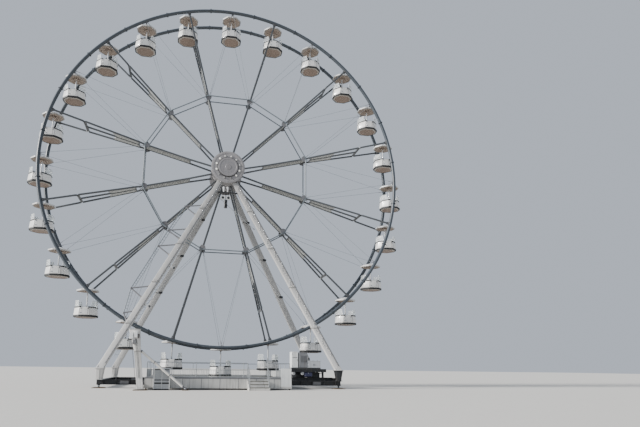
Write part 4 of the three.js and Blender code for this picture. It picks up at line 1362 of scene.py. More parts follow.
def leg_beam(shape, sx, sy):
    """The box beam of a leg with a bolted foot and head, in lengths that meet at flanges."""
    top, foot = LEG_TOP.z, LEG_FOOT.z
    shape.loft([level_ring(sx, sy, z) for z in (foot, top)], LEG_CREAM)
    for i in range(1, LEG_JOINTS):
        leg_joint(shape, sx, sy, foot + (top - foot) * i / LEG_JOINTS)
    for z, up in ((foot, 1), (top, -1)):
        stations = ((0.0, 0.072), (0.006 * up, 0.08), (0.034 * up, 0.08), (0.04 * up, 0.072))
        leg_flange(shape, sx, sy, z, stations, LEG_CREAM)
        for x, y in ((x, y) for x in (-0.22, 0.22) for y in (-1, 1)):
            base = y * LEG_DEPTH / 2
            corners = ((base, 0.03), (base + y * 0.036, 0.03), (base, 0.26))
            points = [leg_point(sx, sy, z + up * dz) + Vector((x, dy, 0)) for dy, dz in corners]
            shape.fin(points, AXIS_X * 0.01, LEG_CREAM)


def leg_stub(shape, z):
    """A short bolted arm with a dark eye that stands out of the side of the left front leg."""
    root = leg_point(-1, -1, z) + AXIS_X * (LEG_WIDTH / 2)
    end = root + Vector((0.36, 0.05, -0.14))
    shape.block(root + AXIS_X * 0.01, (0.02, 0.09, 0.12), LEG_FLANGE)
    shape.bar(root, end, 0.09, 0.11, SCREEN_FRAME, AXIS_Y, 0.01)
    shape.pin(end, AXIS_Y * 0.08, 0.085, DARK_STEEL, 16)
    shape.pin(end, AXIS_Y * 0.11, 0.03, BRIGHT_STEEL, 10)


def make_leg(sx, sy, name):
    """A leg with its cables, lights, ladder, guide rail or arms, as each leg has them."""
    shape = Shape()
    leg_beam(shape, sx, sy)
    leg_conduit(shape, sx, sy)
    if sx > 0:
        leg_lights(shape, sx, sy)
    elif sy > 0:
        leg_ladder(shape, sx, sy)
    else:
        guide_rail(shape)
        for z in (9.7, 6.4):
            leg_stub(shape, z)
    show_part(shape, name, "beam", "leg_paint")


GUIDE = ((-3.63, 15.21), (-4.92, 12.87), (-5.655, 11.40), (-7.51, 7.69), (-7.90, 5.65))


def guide_tip(x, z):
    """A station of the guide rail, in the plane of the left front leg."""
    return Vector((x, leg_point(-1, -1, z).y, z))


def guide_rail(shape):
    """The rail beside the left front leg, on triangular brackets of two tubes with pinned ends."""
    tips = [guide_tip(x, z) for x, z in GUIDE]
    for tip in tips:
        for dz in (0.25, -0.90):
            root = leg_point(-1, -1, tip.z + dz)
            shape.rod(tip, root, 0.055, FLANGE_GREY)
            out = (tip - root).normalized()
            face = root + out * (LEG_WIDTH / 2 + 0.02)
            shape.rod(face, face + out * 0.10, 0.075, FLANGE_GREY)
            shape.block(face - AXIS_X * 0.015, (0.035, 0.09, 0.10), LEG_FLANGE)
        collar = [(0.05, 0), (0.068, 0.015), (0.068, 0.125), (0.05, 0.14)]
        shape.turned(collar, tip - AXIS_Y * 0.07, AXIS_Y, FLANGE_GREY, 16)
    for a, b in zip(tips, tips[1:]):
        shape.rod(a, b, 0.035, TIE_GREY, 14)
        inwards = (b - a).normalized().cross(AXIS_Y) * 0.20
        inwards *= math.copysign(1, inwards.x)
        shape.rod(a.lerp(b, 0.06) + inwards, a.lerp(b, 0.94) + inwards, 0.020, TIE_GREY, 8)
        rungs = max(2, int((b - a).length / 0.28))
        for i in range(rungs + 1):
            start = a.lerp(b, 0.06 + 0.88 * i / rungs)
            shape.rod(start, start + inwards, 0.013, TIE_GREY, 6)


def make_head(sy, name):
    """The bearing housing on a pair of legs: two cheek plates, a bolted cap and ribs."""
    shape = Shape()
    low_z, high_z = LEG_TOP.z + GAP, HUB.z + 0.64
    inner, outer = 0.90, 1.44
    half = [(0.70, low_z - HUB.z), (0.70, 0.18), (0.62, 0.40), (0.42, 0.60), (0.20, 0.64)]
    outline = [Vector((-x, z)) for x, z in half[:1]] + [Vector(point) for point in half]
    outline += [Vector((-x, z)) for x, z in half[:0:-1]]
    run = AXIS_Y * sy
    dense = []
    for a, b in zip(outline, outline[1:] + outline[:1]):
        dense += [a.lerp(b, step / 4) for step in range(4)]
    cheek = [(point.x, -sy * point.y) for point in dense]
    if sy > 0:
        cheek.reverse()
    for start in (inner, outer - 0.09):
        bored_plate(shape, cheek, (0, sy * start, HUB.z), run, 0.05, LEG_CREAM)
    deep = outer - inner
    body = [(0.46, 0), (0.46, deep - 0.03), (0.43, deep), (AXLE_BORE, deep), (AXLE_BORE, 0)]
    shape.turned(body, (0, sy * inner, HUB.z), run, HUB_GREY, 40, 0.0, True)
    shape.take_mesh(bolts(16, 0.36, 0.022, 0.03), facing((0, sy * outer, HUB.z), run))
    for x, down in ((-0.68, 0.45), (-0.34, 0.10), (0.34, 0.10), (0.68, 0.45)):
        low, high = (x - 0.016, sy * inner, low_z), (x + 0.016, sy * (outer - 0.05), high_z - down)
        shape.box(low, high, LEG_CREAM)
    shape.box((-0.70, sy * inner, low_z), (0.70, sy * outer, low_z + 0.04), LEG_CREAM)
    for x in (-0.62, -0.20, 0.20, 0.62):
        at = Vector((x, sy * (outer - 0.035), low_z + 0.04))
        shape.rod(at, at + AXIS_Z * 0.035, 0.022, BRIGHT_STEEL, 6)
    show_part(shape, name, "housing", "leg_paint")


def make_axle():
    """The fixed axle with a stepped end at each side."""
    shape = Shape()
    half = axle_high.y
    profile = [(0.20, 0), (0.235, 0.02), (0.242, 0.03), (0.242, half - 0.03)]
    shape.turned(profile, (0, -half, HUB.z), AXIS_Y, BRIGHT_STEEL, 32, 2 * half)
    show_part(shape, "axle", "shaft", "bare_steel")


DISC_LAMP_CIRCLE = 1.05
DISC_LENSES = (
    [LAMP_DIM] * 3 + [LAMP_WHITE] * 2 + [LAMP_OUT] * 3 + [LAMP_WHITE] * 3 + [LAMP_DIM]
)


def make_disc(sy, name):
    """The round cover with a ring of lamps and a stepped drum in its middle."""
    shape = Shape()
    back, face = sorted((corner.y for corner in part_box(name)), key=abs)
    depth = abs(face - back)
    run = AXIS_Y * sy
    start = Vector((0, back, HUB.z))
    pocket = 0.075
    cover = [
        (AXLE_BORE, 0), (1.47, 0), (1.50, 0.012), (1.50, 0.058), (1.47, 0.07), (1.30, 0.07),
        (1.28, 0.055), (0.95, 0.055), (0.94, 0.035), (0.90, 0.035),
        (0.90, depth - 0.04), (0.87, depth - 0.012),
        (0.74, depth - 0.005), (0.72, depth - 0.02), (0.26, depth - 0.02), (0.24, depth),
        (0.05, depth), (0.05, pocket), (AXLE_BORE, pocket),
    ]
    # The drum's side wall and foot recess take the dark grey of painted shade.
    looks = [DISC_GREY] * 7 + [DRUM_SIDE_PAINTED_SHADE] * 4 + [DRUM_GREY] * 8
    shape.turned(cover, start, run, looks, 64, 0.0, True)
    shape.turned([(0.05, 0), (0.05, depth - pocket)], start + run * pocket, run, DISC_GREY, 12)
    rim = [(0.105, 0), (0.112, 0.006), (0.109, 0.022), (0.094, 0.028)]
    bulb = [(0.096, 0.02), (0.092, 0.040), (0.076, 0.058), (0.045, 0.070), (0.02, 0.073)]
    for i, lens in enumerate(DISC_LENSES):
        angle = 2 * math.pi * (i + 0.5) / len(DISC_LENSES)
        at = start + run * 0.055 + Vector((math.sin(angle), 0, math.cos(angle))) * DISC_LAMP_CIRCLE
        shape.turned(rim, at, run, FLANGE_GREY, 24)
        shape.turned(bulb, at, run, lens, 24)
    shape.take_mesh(bolts(32, 1.40, 0.012, 0.018), facing(start + run * 0.07, run))
    shape.take_mesh(bolts(12, 0.5, 0.018, 0.025), facing(start + run * (depth - 0.02), run))
    show_part(shape, name, "cover", "hub_paint")


# The lamp bar between the front legs

def lamp_bar_beam(shape):
    """The bar, and the slanted plates that bolt it to the legs."""
    half = 0.065
    slope = (LEG_FOOT.x - LEG_TOP.x) / (LEG_TOP.z - LEG_FOOT.z)
    reach = leg_point(1, -1, BAR_Z).x - LEG_WIDTH / 2 - GAP
    end = reach - slope * half - 0.03
    shape.bar((-end, BAR_Y, BAR_Z), (end, BAR_Y, BAR_Z), 0.12, 0.12, DARK_STEEL)
    square = ((-half, -half), (half, -half), (half, half), (-half, half))
    for sx in (-1, 1):
        rings = []
        for x in (reach - 0.03, reach):
            rings.append([Vector((sx * (x - slope * dz), BAR_Y + dy, BAR_Z + dz)) for dy, dz in square])
        shape.loft(rings, FLANGE_GREY)


def lamp_bar_lamps(shape):
    """Two round lamps that hang from the bar, and two upright horns on it."""
    ring = [(0.10, 0), (0.17, 0.02), (0.205, 0.09), (0.21, 0.15), (0.205, 0.178)]
    ring += [(0.15, 0.18), (0.14, 0.165)]
    lens = [(0.135, 0.15), (0.11, 0.175), (0.06, 0.188), (0.02, 0.190)]
    for x in LAMP_X:
        at = Vector((x, BAR_Y + 0.09, LAMP_Z))
        shape.turned(ring, at, -AXIS_Y, LAMP_RING, 32)
        shape.turned(lens, at, -AXIS_Y, LENS_DARK, 32)
        shape.box((x - 0.03, BAR_Y + 0.01, LAMP_Z), (x + 0.03, BAR_Y + 0.04, BAR_Z), DARK_STEEL)
        shape.rod((x, BAR_Y + 0.10, LAMP_Z), (x, BAR_Y, LAMP_Z), 0.05, DARK_STEEL)
    horn = [(0.05, 0), (0.06, 0.02), (0.055, 0.12), (0.10, 0.30), (0.12, 0.42)]
    horn += [(0.10, 0.46), (0.05, 0.48)]
    for x in HORN_X:
        shape.turned(horn, (x, BAR_Y, BAR_Z + 0.06), AXIS_Z, POLE_GREY, 20)
        foot = Matrix.Translation((x, BAR_Y, BAR_Z + 0.065))
        shape.take_mesh(bolts(4, 0.045, 0.008, 0.012), foot)


def control_box(shape):
    """The box with its door, hinges and handle, on two hanger rods."""
    low, high = Vector(CONTROL_LOW), Vector(CONTROL_HIGH)
    shape.box(low, high, BOX_BLACK, 0.02)
    door = Vector((low.x + 0.025, low.y - 0.012, low.z + 0.03))
    shape.box(door, (high.x - 0.025, low.y + 0.01, high.z - 0.03), BOX_BLACK, 0.008)
    for z in (low.z + 0.12, high.z - 0.12):
        shape.pin((low.x + 0.02, low.y - 0.012, z), AXIS_Z * 0.03, 0.012, FLANGE_GREY, 8)
    shape.pin((high.x - 0.05, low.y - 0.022, low.z + 0.41), AXIS_Z * 0.05, 0.01, BRIGHT_STEEL, 8)
    for x in ((low.x + high.x) / 2 + side for side in (-0.02, 0.02)):
        foot, head = (x, BAR_Y + 0.05, high.z - 0.01), (x, BAR_Y + 0.03, BAR_Z - 0.05)
        shape.rod(foot, head, 0.014, DARK_STEEL, 10)


def make_lamp_bar():
    """A dark bar with lamps, horns and a control box, and the thin brace beside it."""
    show_part(assembled(lamp_bar_beam, lamp_bar_lamps, control_box), "lamp_bar", "frame", "bare_steel")
    pipe = Shape()
    a, b = Vector((-1.30, BAR_Y + 0.02, 16.79)), Vector((2.42, BAR_Y - 0.28, 13.52))
    pipe.rod(a, b, 0.022, GALVANISED, 10)
    for at, back in ((a, b), (b, a)):
        pipe.rod(at, at + (back - at).normalized() * 0.12, 0.034, FLANGE_GREY, 10)
        pipe.pin(at, AXIS_Y * 0.04, 0.05, FLANGE_GREY, 14)
    show(pipe.build("lamp_bar_brace"), "lamp_bar_brace", "base", "bare_steel")


# Ground frame

BEAM_LOW = 0.25
BEAM_TOP = 0.60
FRAME_X = 9.2
FRAME_Y = 4.28
BEAM_SIDE = 0.35
PAD_TOP = 0.06


def beam(shape, a, b, wide, tall, side, web=0.014, flange=0.022):
    """A rolled beam from a to b, its flanges wide along side."""
    w, t, half = wide / 2, tall / 2, web / 2
    right = [(w, -t), (w, flange - t), (half, flange - t), (half, t - flange), (w, t - flange), (w, t)]
    outline = right + [(-x, y) for x, y in reversed(right)]
    shape.sweep(outline, [Vector(a), Vector(b)], DARK_STEEL, side)


def stiffeners(shape, a, b, wide, tall, side, pitch=0.9):
    """Upright plates on both sides of a beam's web."""
    run = Vector(b) - Vector(a)
    count = max(2, int(run.length / pitch))
    corner = run.normalized() * 0.006 + AXIS_Z * (tall / 2 - 0.02)
    part = Shape()
    for sign in (-1, 1):
        near, far = side * (sign * 0.007), side * (sign * (wide / 2 - 0.012))
        part.box(near - corner, far + corner, DARK_STEEL, 0.003)
    shape.take_mesh(row(part, count, Vector(a) + run * (0.5 / count), run / count))


def ground_pad(shape, x, y, half):
    """Packing timbers under a steel plate."""
    boards = 4
    wide = 2 * half / boards
    for i in range(boards):
        near = x - half + i * wide
        low, high = (near + 0.004, y - half, 0.0), (near + wide - 0.004, y + half, PAD_TOP - 0.02)
        shape.box(low, high, TIMBER, 0.008)
    shape.block((x, y, PAD_TOP - 0.01), (half * 0.72, half * 0.72, 0.01), DARK_STEEL)


def screw_jack(shape, x, y):
    """A threaded screw with a foot, and a nut under the beam."""
    low, high = PAD_TOP, BEAM_LOW + 0.01
    foot = [(0.10, 0), (0.108, 0.006), (0.108, 0.02), (0.075, 0.03)]
    shape.turned(foot, (x, y, low), AXIS_Z, DARK_STEEL, 20)
    pitch = 0.012
    thread = []
    for i in range(int((high - low - 0.07) / pitch)):
        z = 0.025 + i * pitch
        thread += [(0.060, z), (0.068, z + pitch / 2)]
    shape.turned(thread, (x, y, low), AXIS_Z, BRIGHT_STEEL, 20)
    nut = [(0.10, 0), (0.108, 0.006), (0.108, 0.045), (0.09, 0.05)]
    shape.turned(nut, (x, y, high - 0.06), AXIS_Z, DARK_STEEL, 6)


def leg_block(shape, x, y):
    """The ribbed pedestal between the ground frame and a leg's foot, light at the left legs."""
    look = LEG_CREAM if x < 0 else DARK_STEEL
    low, top = BEAM_TOP, LEG_FOOT.z - GAP
    rings = []
    for z, side in ((low, 0.34), (low + 0.03, 0.36), (top - 0.03, 0.60), (top, 0.60)):
        rings.append([Vector((x + px, y + py, z)) for px, py in rounded(side, side, 0.03, 3)])
    shape.loft(rings, look)
    for z, half in ((low, 0.26), (top - 0.04, 0.35)):
        shape.block((x, y, z + 0.0175), (half, half, 0.0175), look, 0.008)
    for sx, sy in CORNERS:
        for px, py in ((0.22, 0.08), (0.08, 0.22)):
            at = Vector((x + sx * px, y + sy * py, low + 0.035))
            shape.rod(at, at + AXIS_Z * 0.03, 0.02, BRIGHT_STEEL, 6)
    rib = ((0.16, low + 0.03), (0.25, low + 0.03), (0.34, top - 0.03), (0.27, top - 0.03))
    for out, side in ((AXIS_X, AXIS_Y), (-AXIS_X, AXIS_Y), (AXIS_Y, AXIS_X), (-AXIS_Y, AXIS_X)):
        shape.fin([Vector((x, y, z)) + out * reach for reach, z in rib], side * 0.01, look)


def bolted_plate(shape, at, reach, xs, zs, out):
    """A plate across Y with bolts in columns and rows that stand out of it."""
    shape.block(at, reach, FLANGE_GREY)
    for x in xs:
        for z in zs:
            root = Vector(at) + Vector((x, 0, z))
            shape.rod(root, root + AXIS_Y * out, 0.016, BRIGHT_STEEL, 6)


def make_base_frame():
    """The ground frame of rolled beams with bolted joints, pedestals, jacks and pads."""
    shape = Shape()
    z = (BEAM_LOW + BEAM_TOP) / 2
    end = FRAME_X + BEAM_SIDE / 2
    for sy in (-1, 1):
        a, b = (-end, sy * FRAME_Y, z), (end, sy * FRAME_Y, z)
        beam(shape, a, b, BEAM_SIDE, BEAM_SIDE, AXIS_Y)
        stiffeners(shape, a, b, BEAM_SIDE, BEAM_SIDE, AXIS_Y)
        for x in (-7.4, 0.0, 7.4):
            for side in (-1, 1):
                at = (x, sy * FRAME_Y + side * 0.012, z)
                columns = (-0.24, -0.08, 0.08, 0.24)
                bolted_plate(shape, at, (0.32, 0.007, 0.12), columns, (-0.07, 0.07), side * 0.03)
    reach = FRAME_Y - 0.012
    for x in (-FRAME_X, -5.6, -2.8, 0.0, 2.8, 5.6, FRAME_X):
        a, b = (x, -reach, z), (x, reach, z)
        beam(shape, a, b, BEAM_SIDE, BEAM_SIDE - 0.004, AXIS_X)
        stiffeners(shape, a, b, BEAM_SIDE, BEAM_SIDE, AXIS_X, 1.1)
        for sy in (-1, 1):
            at = (x, sy * (FRAME_Y - BEAM_SIDE / 2 - 0.02), z)
            rows = (-0.1, 0.0, 0.1)
            bolted_plate(shape, at, (0.21, 0.014, 0.155), (-0.17, 0.17), rows, sy * -0.035)
    for sx, sy in CORNERS:
        leg_block(shape, sx * FRAME_X, sy * FRAME_Y)
    for sx, sy in ((0, 0),) + CORNERS:
        ground_pad(shape, sx * FRAME_X, sy * FRAME_Y, 0.45)
        screw_jack(shape, sx * FRAME_X, sy * FRAME_Y)
    show_part(shape, "base_frame", "beams", "chassis_paint")


# Boarding deck, railings and steps

DECK_X = (-5.80, 4.80)
DECK_Y = (-6.80, 4.10)
DECK_TOP = 0.86
DECK_LOW = 0.80
LANE = 1.12
LANE_TOP = 0.65
DECK_BAYS = 8
RAIL_TOP = DECK_TOP + 1.08
GATE = (1.50, 3.00)


def deck_field(shape, front, back, top, rows):
    """A floor of tread plates in frames, with a thin gap between neighbours."""
    wide, deep = (DECK_X[1] - DECK_X[0]) / DECK_BAYS, (back - front) / rows
    low, under = top - 0.058, top - 0.012
    x0, x1, x2, x3 = 0.004, 0.044, wide - 0.044, wide - 0.004
    y0, y1, y2, y3 = 0.004, 0.044, deep - 0.044, deep - 0.004
    part = Shape()
    part.box((x0, y0, under), (x3, y3, top), DECK_TREAD, 0.003)
    for a, b in (
        ((x0, y0), (x1, y3)), ((x2, y0), (x3, y3)), ((x1, y0), (x2, y1)), ((x1, y2), (x2, y3)),
    ):
        part.box((*a, low), (*b, under), FLANGE_GREY, 0.003)
    for x in (0.03, wide - 0.03):
        for y in (0.03, deep - 0.03):
            part.rod((x, y, top - 0.002), (x, y, top + 0.0035), 0.012, BRIGHT_STEEL, 8)
    for k in range(rows):
        shape.take_mesh(row(part, DECK_BAYS, (DECK_X[0], front + k * deep, 0), (wide, 0, 0)))


def deck_skirt(shape, left, right, front):
    """The boards that close the front of the deck, with battens and a strip over them."""
    bay = (right - left) / DECK_BAYS
    board = Shape()
    board.box((0.006, 0.006, 0.10), (bay - 0.006, 0.034, DECK_LOW - 0.03), SKIRT_GREY)
    for z in (0.15, DECK_LOW - 0.12):
        board.box((0.05, 0.0, z), (bay - 0.05, 0.01, z + 0.04), SKIRT_GREY, 0.004)
    board.box((-0.02, 0.0, 0.09), (0.02, 0.03, DECK_LOW), FLANGE_GREY, 0.004)
    shape.take_mesh(row(board, DECK_BAYS, (left, front, 0), (bay, 0, 0)))
    shape.box((left, front, DECK_LOW - 0.03), (right, front + 0.04, DECK_TOP - 0.012), FLANGE_GREY)


def deck_posts(shape, left, right, front):
    """The braced posts that carry the front of the deck."""
    y = front + 0.24
    for x in (left + 0.12, -2.8, 0.0, 2.8, right - 0.12):
        shape.bar((x, y, 0.02), (x, y, DECK_LOW), 0.10, 0.10, DARK_STEEL, AXIS_X, 0.008)
        shape.block((x, y, 0.01), (0.06, 0.06, 0.01), DARK_STEEL)
        shape.bar((x, front + 0.012, 0.17), (x, y, 0.17), 0.08, 0.08, DARK_STEEL, AXIS_X, 0.006)
        head = (x, y + 0.9, DECK_LOW - 0.06)
        shape.bar((x, y, 0.25), head, 0.05, 0.05, DARK_STEEL, AXIS_X, 0.006)


def deck_board(shape, front):
    """The plain white board in its frame at the right end of the skirt."""
    x0, x1, z0, z1 = 4.0, 4.74, 0.24, 1.55
    shape.box((x0, front - 0.004, z0), (x1, front + 0.032, z1 + 0.005), BOX_WHITE)
    y = front + 0.014
    for a, b in (
        ((x0, y, z0 - 0.01), (x0, y, z1 + 0.01)), ((x1, y, z0 - 0.01), (x1, y, z1 + 0.01)),
        ((x0 - 0.015, y, z1), (x1 + 0.015, y, z1)), ((x0 - 0.015, y, z0), (x1 + 0.015, y, z0)),
    ):
        shape.bar(a, b, 0.03, 0.044, SCREEN_FRAME, AXIS_X, 0.006)


def make_deck():
    """The boarding deck: tread plates at both sides of a lower lane, on beams and posts."""
    shape = Shape()
    (left, right), (front, back) = DECK_X, DECK_Y
    deck_field(shape, front + 0.002, -LANE - 0.04, DECK_TOP, 3)
    deck_field(shape, LANE + 0.04, back, DECK_TOP, 2)
    deck_field(shape, -LANE, LANE, LANE_TOP, 1)
    for sy in (-1, 1):
        low, high = (left, sy * LANE, BEAM_TOP + GAP), (right, sy * (LANE + 0.03), DECK_TOP - 0.004)
        shape.box(low, high, SKIRT_GREY)
        low = (left, sy * (LANE - 0.006), DECK_TOP - 0.03)
        high = (right, sy * (LANE + 0.05), DECK_TOP + 0.004)
        shape.box(low, high, NOSING_STRIP)
    deck_skirt(shape, left, right, front)
    for x, wide in ((left, 0.03), (right, -0.03)):
        for near, far in ((front, -LANE), (LANE, back)):
            shape.box((x, near, DECK_TOP - 0.13), (x + wide, far, DECK_TOP - 0.006), SKIRT_GREY)
    for y in (-FRAME_Y, back - 0.12):
        beam(shape, (left, y, 0.70), (right, y, 0.70), 0.12, 0.19, AXIS_Y, 0.01, 0.014)
    deck_posts(shape, left, right, front)
    deck_board(shape, front)
    show_part(shape, "deck", "floor", "deck_plate")


def rail_bay(shape, a, b, low, high):
    """One bay of a railing: three tubes, and bars up to the middle one."""
    levels = (low + 0.025, (low + high) / 2, high - 0.025)
    for z, radius in zip(levels, (0.017, 0.017, 0.025)):
        shape.rod((*a, z), (*b, z), radius, GALVANISED, 10)
    count = max(1, int((b - a).length / 0.13))
    part = Shape()
    part.rod((0, 0, levels[0]), (0, 0, levels[1]), 0.008, GALVANISED, 6)
    step = (b - a) / (count + 1)
    shape.take_mesh(row(part, count, (*(a + step), 0), (*step, 0)), None, True)


def rail_post(shape, x, y, low, high):
    """A post with a cap, on a foot plate with four bolts."""
    shape.rod((x, y, low), (x, y, high), 0.024, GALVANISED)
    cap = [(0.024, 0), (0.022, 0.012), (0.012, 0.022)]
    shape.turned(cap, (x, y, high - 0.006), AXIS_Z, GALVANISED, 12)
    shape.block((x, y, low + 0.005), (0.055, 0.055, 0.005), GALVANISED, 0.003)
    for sx, sy in CORNERS:
        at = (x + sx * 0.038, y + sy * 0.038, low + 0.014)
        shape.pin(at, AXIS_Z * 0.006, 0.008, BRIGHT_STEEL, 6)


def railing(shape, run, gate):
    """A railing along corner points, open between two x values where it has a gate."""
    low, high = DECK_TOP + GAP, RAIL_TOP
    corners = [Vector(point) for point in run]
    for a, b in zip(corners, corners[1:]):
        gated = gate is not None and a.y == b.y
        bays = round((b - a).length / 1.8)
        stops = [a.lerp(b, k / bays) for k in range(bays + 1)]
        if gated:
            stops = [p for p in stops if not gate[0] < p.x < gate[1]]
            stops += [Vector((x, a.y)) for x in gate]
            stops.sort(key=lambda p: p.x)
        for p in stops:
            rail_post(shape, p.x, p.y, low, high)
        for p, q in zip(stops, stops[1:]):
            if gated and p.x == gate[0]:
                shape.rod((*p, low + 0.025), (*q, low + 0.025), 0.017, GALVANISED, 10)
            else:
                rail_bay(shape, p, q, low, high)


def make_railings():
    """The railings round the front and the back of the deck, with a gate at the steps."""
    left, right = DECK_X[0] + 0.15, DECK_X[1] - 0.15
    for end, edge, lane, gate in (
        ("front", DECK_Y[0] + 0.15, -LANE - 0.15, GATE), ("back", DECK_Y[1] - 0.15, LANE + 0.15, None),
    ):
        shape = Shape()
        railing(shape, [(left, lane), (left, edge), (right, edge), (right, lane)], gate)
        show_part(shape, f"railing_{end}", "tubes", "rail_steel")


def make_steps():
    """Three tread-plate steps between stringers, with a handrail at each side."""
    shape = Shape()
    left, right = GATE
    run, rise = 0.32, DECK_TOP / 4
    face = DECK_Y[0] - GAP
    side = [(face, 0.0), (face, 3 * rise)]
    for i in (2, 1, 0):
        front, top = face - (3 - i) * run, (i + 1) * rise
        back = front + run + 0.02 if i < 2 else face
        shape.box((left + 0.03, front, top - 0.03), (right - 0.03, back, top), DECK_TREAD)
        nosing = (left + 0.03, front, top - 0.034), (right - 0.03, front + 0.045, top + 0.003)
        shape.box(*nosing, NOSING_STRIP)
        riser = (left + 0.04, front + 0.02, top - rise), (right - 0.04, front + 0.032, top - 0.02)
        shape.box(*riser, SKIRT_GREY)
        side += [(front, top), (front, top - rise)]
    for x in (left + 0.015, right - 0.015):
        shape.fin([Vector((x, y, z)) for y, z in side], AXIS_X * 0.015, SKIRT_GREY)
    for x in (left + 0.05, right - 0.05):
        foot = Vector((x, face - 2.5 * run, rise + 0.95))
        head = Vector((x, face - 0.5 * run, 3 * rise + 0.95))
        for top in (foot, head):
            rail_post(shape, x, top.y, top.z - 0.95, top.z)
        more = (head - foot) * 0.03
        shape.rod(foot - more, head + more, 0.024, GALVANISED)
        shape.rod(foot - AXIS_Z * 0.45, head - AXIS_Z * 0.45, 0.016, GALVANISED, 10)
    show_part(shape, "entry_steps", "treads", "rail_steel")


# Cabinets, machine bed and machines

def make_louvre_cabinet():
    """A cabinet with three banks of louvres in its front and sides, a plinth and a cap."""
    shape = Shape()
    x0, x1, y0, y1, top = -5.13, -4.02, -7.50, DECK_Y[0] - GAP, 1.48
    shape.box((x0 + 0.03, y0 + 0.05, 0.05), (x1 - 0.03, y1 - 0.02, top - 0.04), JOINT_DARK)
    shape.box((x0 + 0.02, y0 + 0.03, 0.0), (x1 - 0.02, y1 - 0.01, 0.08), DARK_STEEL)
    shape.box((x0, y0, top - 0.05), (x1, y1, top), BOX_WHITE, 0.012)
    for x in (x0, x1 - 0.05):
        for y in (y0, y1 - 0.05):
            shape.box((x, y, 0.06), (x + 0.05, y + 0.05, top - 0.04), BOX_WHITE)
    x, y = (x0 + x1) / 2, (y0 + y1) / 2
    section = ((0.008, 0.0), (0.014, 0.0), (0.05, 0.052), (0.044, 0.056))
    slat = Shape()
    slat.fin([Vector((x, y0 + a, z)) for a, z in section], AXIS_X * (x1 - x - 0.05), LOUVRE_GREY)
    for wall, inwards in ((x0, 1), (x1, -1)):
        points = [Vector((wall + inwards * a, y, z)) for a, z in section]
        slat.fin(points, AXIS_Y * (y1 - y - 0.05), LOUVRE_GREY)
    pitch = 0.062
    for low, high in ((0.10, 0.47), (0.53, 0.67), (0.73, 1.41)):
        shape.take_mesh(row(slat, int((high - low) / pitch), (0, 0, low), (0, 0, pitch)))
    for z in (0.50, 0.70):
        shape.box((x0 + 0.05, y0 + 0.022, z - 0.024), (x1 - 0.05, y0 + 0.05, z + 0.024), JOINT_DARK)
    shape.box((x - 0.014, y0, 0.08), (x + 0.014, y0 + 0.04, top - 0.05), BOX_WHITE)
    shape.pin((x - 0.06, y0, 0.92), AXIS_Z * 0.06, 0.010, BRIGHT_STEEL, 8)
    show_part(shape, "louvre_cabinet", "slats", "panel_paint")


BED_X = (5.40, 8.30)
BED_Y = (-3.95, -1.75)
BED_Z = (1.29, 1.55)


def bed_frame(shape):
    """The bed's channels and plate."""
    (x0, x1), (y0, y1), (z0, z1) = BED_X, BED_Y, BED_Z
    z, tall = (z0 + z1) / 2, z1 - z0 - 0.02
    for y in (y0 + 0.06, y1 - 0.06):
        beam(shape, (x0, y, z), (x1, y, z), 0.12, tall, AXIS_Y, 0.012, 0.018)
        stiffeners(shape, (x0, y, z), (x1, y, z), 0.12, tall, AXIS_Y, 0.45)
    for i in range(5):
        x = x0 + 0.06 + i * (x1 - x0 - 0.12) / 4
        beam(shape, (x, y0 + 0.05, z), (x, y1 - 0.05, z), 0.12, tall - 0.01, AXIS_X, 0.012, 0.018)
    shape.box((x0, y0, z1 - 0.012), (x1, y1, z1), DECK_TREAD)


def bed_legs(shape):
    """Two rails on the ground frame, with braced posts under the bed."""
    (x0, x1), (y0, y1), (z0, _) = BED_X, BED_Y, BED_Z
    rest = BEAM_TOP + GAP
    stops = (x0 + 0.25, (x0 + x1) / 2, x1 - 0.25)
    low, high = rest + 0.24, z0 + 0.01
    for y in (y0 + 0.25, y1 - 0.25):
        a, b = (x0, y, rest + 0.12), (FRAME_X + BEAM_SIDE / 2, y, rest + 0.12)
        beam(shape, a, b, 0.18, 0.24, AXIS_Y, 0.012, 0.018)
        stiffeners(shape, a, b, 0.18, 0.24, AXIS_Y, 0.7)
        for x in stops:
            shape.bar((x, y, low), (x, y, high), 0.15, 0.15, DARK_STEEL, AXIS_X, 0.01)
            for z in (low + 0.009, high - 0.011):
                shape.block((x, y, z), (0.10, 0.10, 0.009), DARK_STEEL)
        for x in (stops[0], stops[2]):
            a, b = sorted(((x, y, z0 - 0.03), (stops[1], y, rest + 0.27)))
            shape.rod(a, b, 0.025, DARK_STEEL, 10)


